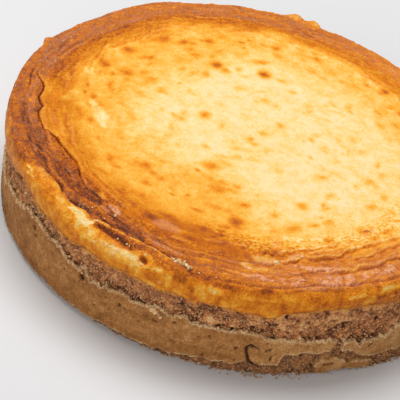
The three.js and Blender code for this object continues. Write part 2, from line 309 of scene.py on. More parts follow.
def short_creases():
    """Random short creases all round the rim, finer than the named ones."""
    draw = np.random.default_rng(21)
    for _ in range(SHORT_CREASES):
        start = draw.uniform(0, 360)
        length = draw.uniform(4, 14)
        radius = draw.uniform(90, 114)
        drift = draw.uniform(-2.5, 2.5)
        yield (draw.uniform(0.4, 0.8), draw.uniform(0.1, 0.5), draw.uniform(-0.1, 0.3),
               draw.uniform(0.05, 0.35), draw.uniform(0, 0.3),
               [(start, radius), (start + length / 2, radius + draw.uniform(-1, 1)),
                (start + length, radius + drift)])


def crease_relief(angle, radius, points):
    """The height that all creases add to the top, and the painted shade in their grooves and painted
    highlight on their lips.
    """
    wander = layers(points, (0.7, 5, 23), (0.5, 2.2, 24))
    wander *= 1 - 0.6 * stretch(angle, 176, 224, 4)
    height, dark, pale = np.zeros((3, len(radius)))
    for width, depth, step, painted_shade, painted_highlight, line in CREASES:
        place, reach = np.array(line, dtype=float).T
        along = place[0] + (angle - place[0] + 90) % 360 - 90
        offset = radius - (np.interp(along, place, reach) + wander)
        near = smooth_step(-0.5, 2.0, along - place[0]) * smooth_step(-0.5, 2.0, place[-1] - along)
        near = near * (np.abs(offset) < CREASE_REACH)
        cut = bell(offset / width)
        drop = step * smooth_step(0.5, -0.5, offset / width) * hump(offset / 6)
        shoulders = 0.25 * depth * bell((np.abs(offset) - 2.0) / 1.2)
        height += near * (drop + shoulders - depth * cut)
        dark = np.maximum(dark, near * painted_shade * cut)
        pale = np.maximum(pale, near * painted_highlight * bell((offset + 1.2) / 0.6))
    return height, dark, pale


CREASES += short_creases()
print(len(CREASES), "creases")

# %% [markdown]
# The top is a height for each angle and radius: the steps down from the crest to the sunken
# middle, the broad wet moat at the front, and the blisters. It is one function, so that the rings
# of the mesh may lie wherever detail needs them. The creases are cut into it later.

# %% Height of the top
RING_DROP = 1.4
PLATEAU_DROP = 1.5
MIDDLE_SAG = 0.9

# Troughs along the ring's inner end: depth, first and last angle, fade, half width
TROUGHS = [(0.5, 178, 230, 8, 2.5), (1.7, 240, 286, 14, 9)]

# Blisters: angle, radius, half width, height
BLISTERS = [(281.6, 95.8, 4.2, 2.1), (190, 74, 9, 0.9), (318.4, 84, 3.5, 1.1), (282, 90, 4, 0.5)]

# Crags of the rim: angle, half width, how far out and how far up
CRAGS = [(86, 4, 2.2, 2.4), (81, 3, 2.2, 2), (163.5, 2.6, 1.4, 1.5), (262, 4, 0.8, 0.8)]


def valley_line(angle):
    """The radius of the main crack, and of the valley where there is no crack."""
    place, reach = np.array(CREASES[0][-1], dtype=float).T
    near = stretch(angle, place[0], place[-1], 4)
    return blend(around(RING_INNER_RADIUS, angle), np.interp(angle, place, reach), near)


def top_height(angle, radius):
    """Height of the top inside the crest, without the creases."""
    crest = around(CREST_RADIUS, angle)
    ring_end = around(RING_INNER_RADIUS, angle)
    plateau_end = around(PLATEAU_INNER_RADIUS, angle)
    rim = blend(MIDDLE_HEIGHT, around(CREST_HEIGHT, angle), smooth_step(20, FLAT_RADIUS, radius))
    height = rim - RING_DROP * (1 - smooth_step(ring_end - 3, crest, radius))
    height -= PLATEAU_DROP * (1 - smooth_step(plateau_end - 6, plateau_end + 6, radius))
    height -= MIDDLE_SAG * np.maximum(1 - (radius / FLAT_RADIUS) ** 2, 0)
    for depth, start, end, fade, half in TROUGHS:
        height -= depth * stretch(angle, start, end, fade) * hump((radius - ring_end) / half)
    for at, where, size, high in BLISTERS:
        height += high * hump(np.radians(turn(at, angle)) * where / size, (radius - where) / size)
    return height


middle_height = float(top_height(np.array([0.0]), np.array([0.0]))[0])
print("the middle of the top is", round(middle_height, 1), "mm high")

# %% [markdown]
# The filling is one closed body made of rings of points, as a lathe would make it, but each
# point finds its own radius and height. Rings lie close together on the rim, where the relief
# is, and the columns are closer along the front. Towards the middle every second column ends,
# so that the triangles keep about one size.

# %% Columns, rings and the mesh between them
def column_angles(count, start, end, weight):
    """Angles of the columns, closer together in the stretch that shows most."""
    fine = np.linspace(0, 360, 3601)
    density = 1 + (weight - 1) * stretch(fine, start, end, 24)
    travelled = np.concatenate([[0], np.cumsum((density[1:] + density[:-1]) / 2)])
    return np.interp(np.arange(count) / count * travelled[-1], travelled, fine)


def ring_faces(lower, lower_count, upper, upper_count):
    """Faces between two rings: quads, or threes of triangles where every second column ends."""
    if lower_count == upper_count:
        i = np.arange(lower_count)
        j = (i + 1) % lower_count
        return np.stack([lower + i, lower + j, upper + j, upper + i], axis=1).tolist()
    if lower_count > upper_count:
        i = np.arange(upper_count)
        a, b = lower + 2 * i, lower + (2 * i + 2) % lower_count
        c, d = upper + i, upper + (i + 1) % upper_count
        fans = [(a, a + 1, c), (a + 1, d, c), (a + 1, b, d)]
    else:
        i = np.arange(lower_count)
        a, b = lower + i, lower + (i + 1) % lower_count
        c, d = upper + 2 * i, upper + (2 * i + 2) % upper_count
        fans = [(a, c + 1, c), (a, b, c + 1), (b, d, c + 1)]
    return np.concatenate([np.stack(fan, axis=1) for fan in fans]).tolist()


def closed_faces(counts):
    """Faces of a closed body: a point, rings with the given counts, and a point."""
    starts = 1 + np.concatenate([[0], np.cumsum(counts)])
    first, last = counts[0], counts[-1]
    faces = [(0, 1 + (i + 1) % first, 1 + i) for i in range(first)]
    for k in range(len(counts) - 1):
        faces += ring_faces(int(starts[k]), counts[k], int(starts[k + 1]), counts[k + 1])
    top = int(starts[-1])
    base = int(starts[-2])
    faces += [(top, base + i, base + (i + 1) % last) for i in range(last)]
    return faces


def add_mesh(name, points, faces, looks, material):
    """A smooth mesh object from millimetre points, with one attribute for each named look."""
    mesh = bpy.data.meshes.new(name)
    mesh.from_pydata((points * MM).tolist(), [], faces)
    for look, values in looks.items():
        attribute = mesh.attributes.new(look, "FLOAT", "POINT")
        attribute.data.foreach_set("value", values.astype(np.float32))
    mesh.shade_smooth()
    mesh.materials.append(material)
    piece = bpy.data.objects.new(name, mesh)
    bpy.context.scene.collection.objects.link(piece)
    triangles = sum(len(face) - 2 for face in faces)
    print(name, "triangles:", triangles)
    return piece


print("a ring of 8 points over one of 4 takes", len(ring_faces(0, 8, 8, 4)), "triangles")

# %% [markdown]
# A finish is a small program of shader nodes. Writing it as expressions keeps it readable: a
# Value wraps one socket, and a sum of values adds its Math nodes by itself. Any other node comes
# from the one make method, with its settings first and then what goes into its sockets.

# %% Values of the shader
class Value:
    """What one socket gives. Plain arithmetic on it adds Math nodes."""

    def __init__(self, finish, socket):
        self.finish = finish
        self.socket = socket

    def math(self, operation, *inputs, clamp=False):
        return self.finish.make("ShaderNodeMath", {"operation": operation, "use_clamp": clamp},
                                dict(enumerate(inputs)))

    def __add__(self, other):
        return self.math("ADD", self, other)

    def __sub__(self, other):
        return self.math("SUBTRACT", self, other)

    def __rsub__(self, other):
        return self.math("SUBTRACT", other, self)

    def __mul__(self, other):
        return self.math("MULTIPLY", self, other)

    __radd__ = __add__
    __rmul__ = __mul__

    def clamped(self):
        return self.math("ADD", self, 0.0, clamp=True)

    def step(self, start, end):
        """0 below start and 1 above end, eased."""
        settings = {"interpolation_type": "SMOOTHSTEP"}
        return self.finish.make("ShaderNodeMapRange", settings, {"Value": self, 1: start, 2: end})


print("words of a value:", [name for name in vars(Value) if not name.endswith("_")])

# %% [markdown]
# A finish is a material with one Principled surface. Its helpers are words for what a maker
# asks of a surface: what the mesh says there, a noise of a certain size, one colour over
# another, a bump. Each of them comes down to the one make method.

# %% Finishes
# Places of the colour sockets of a Mix node
MIX_FACTOR = 0
MIX_FIRST = 6
MIX_SECOND = 7
MIX_RESULT = 2


class Finish:
    """A material whose nodes all come from make."""

    def __init__(self, name):
        self.material = bpy.data.materials.new(name)
        self.material.use_nodes = True
        self.tree = self.material.node_tree
        self.tree.nodes.clear()

    def make(self, kind, settings, inputs, output=0):
        """Adds a node: its settings are set first, then the values or links of its sockets.

        The output is None for a node that gives nothing on.
        """
        node = self.tree.nodes.new(kind)
        for name, value in settings.items():
            if name == "stops":
                self.set_stops(node.color_ramp, value)
            else:
                setattr(node, name, value)
        for name, value in inputs.items():
            if isinstance(value, Value):
                self.tree.links.new(value.socket, node.inputs[name])
            else:
                node.inputs[name].default_value = value
        return None if output is None else Value(self, node.outputs[output])

    @staticmethod
    def set_stops(ramp, stops):
        while len(ramp.elements) < len(stops):
            ramp.elements.new(1.0)
        for element, (place, colour) in zip(ramp.elements, stops):
            element.position = place
            element.color = (*colour, 1.0)

    def surface(self, inputs):
        """Closes the material with its Principled surface."""
        principled = self.make("ShaderNodeBsdfPrincipled", {}, inputs)
        self.make("ShaderNodeOutputMaterial", {}, {"Surface": principled}, None)
        return self.material

    def look(self, name):
        """A value that the mesh carries on its points."""
        return self.make("ShaderNodeAttribute", {"attribute_name": name}, {}, "Fac")

    def vector(self, operation, *inputs, output=0):
        """Vector maths on places."""
        return self.make("ShaderNodeVectorMath", {"operation": operation}, dict(enumerate(inputs)), output)

    def place(self):
        """The point on the surface, in millimetres."""
        point = self.make("ShaderNodeTexCoord", {}, {}, "Object")
        return self.squeezed(point, (1 / MM, 1 / MM, 1 / MM))

    def squeezed(self, place, scale):
        """A place squeezed by its own amount along each axis."""
        return self.vector("MULTIPLY", place, scale)

    def noise(self, place, size, detail, distortion=0.0):
        """Smooth noise, about 0 to 1, whose blotches are as wide as size."""
        inputs = {"Vector": place, "Scale": 1 / size, "Detail": detail, "Distortion": distortion}
        return self.make("ShaderNodeTexNoise", {}, inputs)

    def swing(self, place, size, detail, distortion=0.0):
        """The same noise, swinging about 0."""
        return self.noise(place, size, detail, distortion) - 0.5

    def dots(self, place, size):
        """The distance to the nearest of scattered points, in sizes."""
        return self.make("ShaderNodeTexVoronoi", {}, {"Vector": place, "Scale": 1 / size}, "Distance")

    def veins(self, swing, sharpness):
        """Thin lines where a swinging noise passes 0."""
        return (1 - swing.math("ABSOLUTE", swing) * sharpness).clamped()

    def ramp(self, value, stops):
        """The colour that belongs to a value, between stops of (value, colour)."""
        return self.make("ShaderNodeValToRGB", {"stops": stops}, {"Fac": value.clamped()})

    def mix(self, factor, first, second):
        """The second colour over the first. A plain colour gets its fourth value here."""
        pair = [value if isinstance(value, Value) else (*value, 1.0) for value in (first, second)]
        inputs = {MIX_FACTOR: factor, MIX_FIRST: pair[0], MIX_SECOND: pair[1]}
        return self.make("ShaderNodeMix", {"data_type": "RGBA"}, inputs, MIX_RESULT)

    def bump(self, height, distance, strength):
        """A surface direction that shades as if the height were real, in millimetres."""
        inputs = {"Height": height, "Distance": distance * MM, "Strength": strength}
        return self.make("ShaderNodeBump", {}, inputs)


print("helpers of a finish:", [name for name in vars(Finish) if not name.startswith("_")])

# %% [markdown]
# Browning runs from pale cream in the middle through gold and orange to red-brown at the rim,
# and the pale middle lies off centre, because one side of an oven is hotter. Three lines give
# where gold, orange and brown begin. The mesh carries the broad browning, and the shader breaks
# it into mottling finer than the mesh.

# %% Where the top has browned
# The radius at which each tone begins, round the cake
GOLD_RADIUS = [
    (0, 92), (45, 86), (90, 86), (135, 72), (165, 68), (190, 68), (215, 60), (250, 52), (268, 56),
    (285, 72), (300, 84), (320, 88), (340, 92),
]
ORANGE_RADIUS = [
    (0, 100), (60, 98), (90, 97), (135, 96), (165, 92), (195, 90), (215, 87), (240, 84), (268, 80),
    (285, 87), (305, 91), (330, 95),
]
BROWN_RADIUS = [
    (0, 108), (60, 106), (90, 104), (120, 106), (150, 104), (180, 104), (205, 100), (225, 97), (250, 98),
    (280, 98), (310, 100), (340, 104),
]

# How brown the rim is at its brownest, round the cake
RIM_TONE = [
    (0, 0.58), (40, 0.57), (90, 0.66), (130, 0.68), (165, 0.72), (200, 0.74), (225, 0.76), (245, 0.72),
    (262, 0.67), (285, 0.61), (310, 0.6), (330, 0.59),
]

# Browned spots that stand out: x, y, half width, and how brown
SPOTS = [
    (-27, 56, 4.5, 0.55), (-22, 53, 3.2, 0.4), (-1, 58, 4.2, 0.75), (-25, 9, 3.6, 0.6), (5, 5, 2.6, 0.45),
    (0, -2, 2.6, 0.45), (-36, 0, 3.4, 0.4), (-40, 2, 2.6, 0.3), (-70, 28, 4.5, 0.35), (-74, 50, 4.5, 0.4),
    (-82, 30, 4, 0.4), (-15, -32, 5, 0.4), (-9, -49, 4.5, 0.35), (-44, -45, 4, 0.35),
    (2.5, -71, 4.5, 0.5), (31, -47, 4.2, 0.4), (39, -20, 2.8, 0.35), (64, -34, 3, 0.4),
    (61, -15, 3.6, 0.3), (56, 8.5, 2.4, 0.25), (62, -55, 3.6, 0.35), (64, 69, 3.2, 0.4),
    (1.5, 86, 3.4, 0.35), (-35, 78, 3.4, 0.35), (-31, 44, 3, 0.3), (-57, 28, 4.2, 0.3),
    (-50, 20, 3.6, 0.28), (-58, 66, 4, 0.3),
]
SMALL_SPOTS = 290


def browned_spots(points):
    """Soft spots on the top: the named ones, and many small ones that lie along the rings."""
    draw = np.random.default_rng(12)
    spots = [(x, y, size, strength, 1.1) for x, y, size, strength in SPOTS]
    for _ in range(SMALL_SPOTS):
        reach = 90 * math.sqrt(draw.uniform(0, 1))
        bearing = draw.uniform(0, 2 * math.pi)
        spots.append((reach * math.cos(bearing), reach * math.sin(bearing), draw.uniform(1.0, 2.6),
                      draw.uniform(0.08, 0.34), draw.uniform(1.2, 2.4)))
    wander = np.stack([grain(points, 3.5, 41), grain(points, 3.5, 42)], axis=1)
    brown = np.zeros(len(points))
    for x, y, size, strength, longer in spots:
        gap = points[:, :2] + 0.8 * wander - (x, y)
        inward = np.array([x, y]) / (math.hypot(x, y) + 0.01)
        across = gap @ inward
        along = gap @ (-inward[1], inward[0]) / longer
        brown = np.maximum(brown, strength * bell(np.hypot(across, along) / size * 1.3))
    return brown


def browning(angle, radius, points):
    """0 cream, 0.3 gold, 0.55 orange, 0.8 brown. The main crack parts brown rim from orange."""
    wander = layers(points, (5, 22, 51), (3, 9, 52))
    gold = around(GOLD_RADIUS, angle) + wander
    orange = around(ORANGE_RADIUS, angle) + 0.6 * wander
    brown = around(BROWN_RADIUS, angle) + 0.3 * wander
    value = 0.05 + 0.25 * smooth_step(gold - 34, gold + 12, radius)
    value += 0.20 * smooth_step(np.minimum(gold + 18, orange - 5), orange + 5, radius)
    value += (around(RIM_TONE, angle) - 0.5) * smooth_step(orange, brown + 4, radius)
    cracked = stretch(angle, 179, 223, 5)
    inside = smooth_step(0.6, -0.6, radius - valley_line(angle))
    value = blend(value, np.minimum(value, 0.53), cracked * inside)
    value = blend(value, np.maximum(value, 0.72), cracked * (1 - inside))
    return value


print(len(SPOTS), "browned spots with their own place, and", SMALL_SPOTS, "small ones")

# %% [markdown]
# Now the filling's rings. They start at its core inside the crumb cup, come out over the crumb
# wall, go up the golden side, over the rounded shoulder and the crest, and in to the middle. A
# few rings follow the main crack exactly, so that it stays a clean narrow cut.

# %% Rings of the filling
FILLING_COLUMNS = 960
SIDE_STEPS = 8
SHOULDER_STEPS = 13
RING_STEPS = 27
PLATEAU_STEPS = 27
MIDDLE_STEPS = 28
CENTRE_STEPS = 18

# Rings along the main crack, by how far outside it each lies
CRACK_OFFSETS = (1.0, 0.55, 0.25, 0.0, -0.25, -0.55, -1.0)

# First and last radius of the rings with a half, and then with a quarter, of the columns
MIDDLE_RADII = (FLAT_RADIUS - 1.2, 42)
CENTRE_RADII = (40.6, 2)

# The filling stays this far off the crumb inside the cup, and is tucked in where it leaves it
CUP_GAP = 0.3
TUCK = 0.9
TUCK_RADIUS = 117.4

# Dents under the lip: depth, first and last angle, fade. Then a bulge at the left, in the same way
LIP_DENTS = [(1.0, 236, 258, 6), (0.8, 268, 330, 12)]
LEFT_BULGE = (1.2, 190, 212, 18)


def swell(angle, amount, start, end, fade):
    """An amount that holds in one stretch of the round."""
    return amount * stretch(angle, start, end, fade)


def shoulder(angle, share):
    """The rounded edge from the side (share 0) up to the crest (share 1)."""
    crest_radius = around(CREST_RADIUS, angle)
    crest_height = top_height(angle, crest_radius)
    spring = blend(joint_height(angle), crest_height, 0.5)
    bend = share * math.pi / 2
    dent = math.sin(share * math.pi) * sum(swell(angle, *place) for place in LIP_DENTS)
    bulge = swell(angle, *LEFT_BULGE) * math.cos(bend) ** 0.5
    radius = crest_radius + (TIN_RADIUS - crest_radius) * math.cos(bend) - dent + bulge
    height = spring + (crest_height - spring) * math.sin(bend) - 0.3 * dent
    for at, wide, out, up in CRAGS:
        near = hump(turn(at, angle) / wide) * smooth_step(0.2, 0.7, share)
        radius = radius + out * near
        height = height + up * near
    return radius, height


def filling_rings(angles):
    """All rings as (angles, radius, height, tilt, side): tilt 0 faces out and 1 faces up."""
    half = angles[::2]
    quarter = angles[::4]
    inner = WALL_INNER_RADIUS - CUP_GAP
    rings = [(half, inner, BASE_THICKNESS + CUP_GAP, 0, 1)]
    rings.append((half, inner, joint_height(half) + CUP_GAP, 0, 1))
    rings.append((angles, TUCK_RADIUS, joint_height(angles) - TUCK, 0, 1))
    radius, spring = shoulder(angles, 0)
    for share in np.arange(SIDE_STEPS) / SIDE_STEPS:
        tuck = TUCK * (1 - math.sin(share * math.pi / 2))
        rings.append((angles, radius - tuck, blend(joint_height(angles) - CUP_GAP, spring, share), 0, 1))
    for share in np.arange(SHOULDER_STEPS) / SHOULDER_STEPS:
        rings.append((angles, *shoulder(angles, share), share, 1 - share))
    crest = around(CREST_RADIUS, angles)
    valley = valley_line(angles)
    stations = [blend(crest, valley + CRACK_OFFSETS[0], step / RING_STEPS) for step in range(RING_STEPS)]
    stations += [valley + offset for offset in CRACK_OFFSETS]
    stations += [blend(valley + CRACK_OFFSETS[-1], FLAT_RADIUS, (step + 1) / PLATEAU_STEPS)
                 for step in range(PLATEAU_STEPS)]
    stations = [(angles, radius) for radius in stations]
    stations += [(half, radius) for radius in np.linspace(*MIDDLE_RADII, MIDDLE_STEPS)]
    stations += [(quarter, radius) for radius in np.linspace(*CENTRE_RADII, CENTRE_STEPS)]
    rings += [(angle, radius, top_height(angle, radius), 1, 0) for angle, radius in stations]
    return rings


def join_rings(rings, start_height, end_height):
    """Flat arrays of angle, radius, height, tilt and side for a body of rings and its two ends."""
    parts = [[[value] for value in (0, 0, start_height, 0, 1)]]
    parts += [[np.broadcast_to(values, ring[0].shape) for values in ring] for ring in rings]
    parts.append([[value] for value in (0, 0, end_height, 1, 0)])
    return [np.concatenate(column).astype(float) for column in zip(*parts)]


print("rings of the filling:", len(filling_rings(np.linspace(0, 345, 24))))

# %% [markdown]
# Where the filling is pale, dark, wet, or under a pinkish granular painted sheen is drawn in
# strokes, as with a brush. Many pale strokes are painted highlights, and the dark ones are partly
# a caramelised fold and partly painted shade under the lip and in the moat. A stroke has a
# strength and stops of angle, radius, height and half width. On the flat of the top the height
# is left out, and the stroke counts in plan.

# %% Strokes of the filling's finish
# Pale strokes: pale cream and torn places, and painted highlights: the white patch at the left of the top,
# the white spot on the blister, light streaks on the side and along a ridge
PALE_AND_HIGHLIGHT_STROKES = [
    (0.85, [(232.4, 116.2, 48.4, 0.9), (233.8, 115.2, 49, 1.5), (236.6, 115.3, 48.4, 1.9),
        (238.2, 115.6, 47.4, 2.2), (239, 114.6, 48.4, 1)]),
    (0.28, [(229, 115.5, 48.4, 2.6), (233, 117, 47.6, 3.4), (238, 117.8, 46, 3.4),
        (243, 118.3, 45, 2.6)]),
    (0.55, [(246.5, 117.2, 46.4, 0.8), (249, 117.4, 46.2, 1.3), (252.2, 117.3, 46.5, 1.8),
        (253.4, 118.2, 45.4, 1.2)]),
    (0.28, [(243, 118, 45.6, 1.6), (248, 118.6, 44.8, 2), (252, 119, 44, 1.8)]),
    (0.6, [(256.6, 118.2, 46.2, 1), (258.6, 118.1, 46.6, 1.2)]),
    (0.7, [(216.2, 118.3, 48.6, 0.5), (217.4, 117.6, 49, 0.6), (218.6, 117.8, 48.6, 0.4)]),
    (0.5, [(217.2, 119, 47, 0.4), (219.6, 118.4, 47.6, 0.5)]),
    (0.5, [(269.6, 118.6, 46, 1.6), (271.5, 119, 45.2, 1.8)]),
    (0.3, [(276, 119, 45, 0.8), (284, 119, 45, 0.8)]),
    (0.42, [(299.5, 118.6, 46.4, 0.7), (303, 118.2, 47.2, 0.9)]),
    (0.5, [(314, 118.8, 45.6, 1.4), (319, 118.6, 45.6, 1.6)]),
    (0.46, [(306.8, 118.6, 46.6, 0.7), (309, 118, 47.8, 1), (312.5, 118.2, 47.6, 1.2)]),
    (0.55, [(309.8, 119.6, 44.4, 0.6), (310.4, 119.7, 43.8, 0.6)]),
    (0.4, [(275.5, 101.2, 2), (278, 103.6, 2.4), (281, 104, 1.4)]),
    (0.35, [(80, 121, 52, 2.5), (88, 121, 52, 2.5)]),
    (0.3, [(162.5, 120, 52, 1.6), (164.5, 120, 52, 1.6)]),
    (0.46, [(280, 94.8, 2.6), (283, 95.2, 2.6)]),
    (0.85, [(284, 97.6, 0.9), (285.2, 98, 1)]),
    (0.44, [(184, 81, 1.2), (188.8, 77.6, 2.8), (193.2, 75.2, 3.2), (198, 74.4, 1.8)]),
    (0.55, [(239.2, 112.6, 0.5), (242.2, 111.4, 0.5), (246.4, 110.6, 0.6), (250.2, 110.9, 0.5),
        (253.8, 110.7, 0.5), (258.5, 112.3, 0.6), (260.2, 112.1, 0.5)]),
    (0.55, [(241.6, 110.6, 1.3), (242.4, 110.2, 1)]),
    (0.45, [(231.5, 97.6, 1.2), (234, 97.6, 1.4)]),
    (0.28, [(174.8, 98.2, 2.4), (176.5, 97.6, 1.6)]),
    (0.28, [(186.7, 93.3, 2.6), (184, 92.4, 1.6), (181.5, 90.8, 2.2)]),
    (0.26, [(167.1, 90.8, 2.4), (169, 90, 1.6)]),
    (0.3, [(289, 78.7, 1), (294, 79.3, 1.2), (301, 80.3, 1)]),
]
# Dark strokes: a caramelised fold under the lip and darker browned patches, and painted shade along the
# lip's lower crease, in the moat and beside the blisters
DARK_AND_SHADE_STROKES = [
    (0.7, [(240.3, 114.3, 48.2, 1.2), (242.5, 113.8, 48.6, 1.7), (246.8, 114.2, 48.5, 2.3),
        (248.8, 115, 48.2, 2), (250.5, 115.6, 47.6, 1.2)]),
    (0.2, [(215, 108, 4), (222, 105, 6), (230, 103, 5), (235, 101, 3)]),
    (0.22, [(254, 86, 3.5), (260.8, 87.4, 4.5), (267, 91, 4.5), (275, 96, 3)]),
    (0.35, [(262, 116.8, 46.5, 2.5), (270, 116.8, 47, 2), (280, 116.5, 47.4, 1.6)]),
    (0.4, [(275, 115.7, 47.8, 1.3), (283, 115.7, 47.8, 1.3)]),
    (0.3, [(285, 115.5, 48, 1), (300, 115.5, 48, 1)]),
    (0.25, [(196, 113, 3), (205, 109, 4), (212, 108, 3)]),
    (0.55, [(262, 118, 47, 1.6), (265, 118.4, 46, 2.2), (266, 119.3, 43.5, 1.4)]),
    (0.35, [(238, 101, 2), (244, 106, 1.6), (251, 107, 1.4)]),
    (0.5, [(317.6, 83.4, 1), (319.2, 83.4, 1)]),
    (0.3, [(306.5, 119, 45, 0.9), (311, 119.2, 45.6, 1)]),
    (0.28, [(276.5, 94, 2.4), (278.4, 97.5, 1.8), (281, 99.4, 1.2)]),
]
# Painted sheen: a pinkish granular colour where ridges and rim would reflect the light
SHEEN_STROKES = [
    (0.8, [(236.8, 98.5, 1.5), (240.2, 98.8, 2)]),
    (0.7, [(236.5, 102.6, 1.6), (238, 102.6, 1.6)]),
    (0.55, [(251, 104, 1.8), (255, 106.4, 2), (260.6, 106.7, 1.8)]),
    (0.26, [(249.5, 91.5, 2.4), (252, 90.6, 3.6), (256.5, 90.6, 2.6)]),
    (0.55, [(283, 104.5, 1.8), (285, 102, 1.6), (287.8, 103.6, 1.8)]),
    (0.4, [(285.6, 86.7, 2.4), (285.6, 80, 3)]),
    (0.75, [(289, 109.9, 2.4), (295, 110.4, 3), (305, 110.2, 3), (314.8, 109.3, 2.6)]),
    (0.55, [(299.4, 103.9, 1.6), (303.9, 102, 2), (309.6, 100, 1.8)]),
    (0.85, [(289.5, 98.8, 1.6), (292, 101.2, 2.4), (296, 103.4, 2.6), (300, 104.4, 2)]),
    (0.75, [(276, 109.6, 1.8), (282, 110.6, 2.4), (288, 111.8, 2.6), (294, 112.6, 2.4),
        (300, 112.6, 2.2)]),
    (0.5, [(304.7, 96.2, 1.6), (310, 97.4, 1.8), (317.1, 100.8, 1.8)]),
    (0.4, [(294.5, 91.3, 1.4), (303, 91.3, 1.8)]),
    (0.4, [(301, 86.7, 1.4), (307.9, 87.7, 2)]),
    (0.8, [(287.5, 94.6, 1.2), (292, 92.2, 1)]),
    (0.45, [(314.6, 84, 1.6), (318.4, 86.4, 1.6), (322, 84, 1.6), (318.4, 81.6, 1.4)]),
    (0.35, [(211.2, 107.3, 1.6), (215.7, 105, 1.8)]),
    (0.2, [(195, 100, 2.2), (203, 96, 2.4)]),
    (0.4, [(170, 108, 3), (185, 110.5, 2.6), (196, 110, 3), (206, 107.5, 2.4)]),
]
WET_STROKES = [
    (1, [(279, 95.5, 2.4), (281.6, 95.6, 3.2), (283.6, 94.4, 2.4)]),
    (0.5, [(243, 118, 46, 2.5), (251, 118, 46, 2.5)]),
    (0.6, [(183.5, 79.5, 2), (194, 74, 3), (200.6, 73.1, 2)]),
    (0.5, [(208, 99.4, 1.4), (216, 96.6, 1.8)]),
    (0.4, [(284, 111.5, 2.6), (300, 111.5, 2.6), (318, 110.5, 2.6)]),
]

# Where the moat is smooth, almost without grain
CALM_STROKES = [
    (1, [(246.5, 91, 3), (254, 88.5, 6), (261, 87.5, 6.5), (268, 89, 6), (275, 91, 3)]),
]

# How much painted sheen the whole rim has, round the cake
RIM_SHEEN = [
    (0, 0.45), (90, 0.35), (160, 0.4), (200, 0.25), (232, 0.1), (250, 0.18), (268, 0.2), (285, 0.45),
    (320, 0.5), (340, 0.5),
]

STROKES = {
    "pale": PALE_AND_HIGHLIGHT_STROKES, "dark": DARK_AND_SHADE_STROKES, "bloom": SHEEN_STROKES, "wet": WET_STROKES,
    "calm": CALM_STROKES,
}
print("strokes:", {name: len(strokes) for name, strokes in STROKES.items()})

# %% [markdown]
# A stroke is painted by distance. Each point of the mesh finds how far it lies from the line of
# the stroke, measured in the stroke's own half width there, and a ragged noise frays the edge.
# A texture painted by hand would do the same, but lines of numbers are easier to correct.

# %% Painting of the strokes


def nearest_point(points, place):
    return points[np.argmin(np.linalg.norm(points - place, axis=1))]


def stroke_depth(points, stops):
    """1 on the line of a stroke, 0 at its edge and less outside it."""
    *place, half = np.array(stops, dtype=float).T
    in_plan = len(place) == 2
    line = round_points(place[0], 0.0 if in_plan else place[2], place[1])
    used = points * (1, 1, 0 if in_plan else 1)
    if not in_plan:
        line = np.array([nearest_point(points, stop) for stop in line])
    depth = np.full(len(points), -9.0)
    for k in range(len(stops) - 1):
        way = line[k + 1] - line[k]
        along = np.clip((used - line[k]) @ way / (way @ way), 0, 1)
        gap = np.linalg.norm(used - line[k] - along[:, None] * way, axis=1)
        depth = np.maximum(depth, 1 - gap / blend(half[k], half[k + 1], along))
    return depth


def painted(strokes, points, ragged):
    """The strongest of the strokes at each point, with ragged edges."""
    total = np.zeros(len(points))
    for strength, stops in strokes:
        depth = stroke_depth(points, stops)
        total = np.maximum(total, strength * smooth_step(-0.3, 0.5, depth + 0.3 * ragged))
    return total


moat = round_points(np.array([240.0, 254.0, 268.0]), 0.0, 88.5)
print("calm at three places of the moat:", painted(CALM_STROKES, moat, 0).round(2))

# %% [markdown]
# The fine relief comes in layers, from wrinkles that run along the rim to grain on every part of
# it. At the front right the surface has burst into little knobs. Each layer also sets the colour:
# hollows and creases are made darker as painted shade, and wrinkle ridges and crease lips paler
# as painted highlight, so relief and looks are worked out together. Displacing real mesh, and not
# only shading it, keeps the ridges in the outline too.

# %% Relief of the filling
# Radii between which the rim's relief fades in
RIM_START = (78, 98)

# The stretch with knobs, as first and last angle and fade, and how high they stand
KNOBBY = (280, 344, 14)
KNOB_HEIGHT = 0.9

# A burst blister in the side: angle, radius, height, half width and depth, then the ring round it
BLISTER_HOLE = (254.4, 116.8, 46.2, 2.9, 2)
HOLE_RING = [
    (252.8, 117.2, 46.6, 0.9), (253.9, 118.3, 45.2, 1), (255.2, 118.6, 45, 1), (256, 117.8, 46, 0.9),
]


def top_relief(angle, radius, height, on_top, points):
    """How far the relief of top and side lifts each point, in mm, and the looks it brings."""
    rim = smooth_step(*RIM_START, radius)
    creases, crease, lip_highlight = crease_relief(angle, radius, points)
    ring_place = np.stack([points[:, 0] / 5, points[:, 1] / 5, 0.9 * radius + height], axis=1)
    streaky = roughness(ring_place, 2.6, 61)
    wrinkles = np.maximum(0.6 - np.abs(roughness(ring_place, 3.2, 66, 2)) * 2.4, 0)
    fine = roughness(points, 2.0, 62)
    lumps = roughness(points, 9, 63)
    bubble, kind = nearest_seed(points, 4.5, 64)
    blisters = hump(bubble / 0.38) * (kind > 0.45)
    knobs, _ = nearest_seed(points, 3.4, 67)
    knobby = stretch(angle, *KNOBBY) * smooth_step(84, 92, radius) * smooth_step(115, 110, radius)
    uneven = 0.26 * streaky + 0.22 * fine + 0.30 * lumps + 0.25 * blisters + 0.5 * wrinkles
    lift = creases + rim * uneven + KNOB_HEIGHT * knobby * (0.5 - knobs)
    lift += (1 - rim) * (0.05 * fine + 0.14 * lumps)
    lift = blend(0.15 * fine + 0.22 * lumps, lift, on_top)
    # crease carries painted shade in the grooves, edge a painted highlight on the crease lips
    return lift, {
        "browning": browning(angle, radius, points) + 0.05 * lumps * rim,
        "crease": crease,
        "edge": lip_highlight,
        "knob": knobby * smooth_step(0.45, 0.75, knobs),
        "wrinkle": wrinkles * rim * on_top,
    }


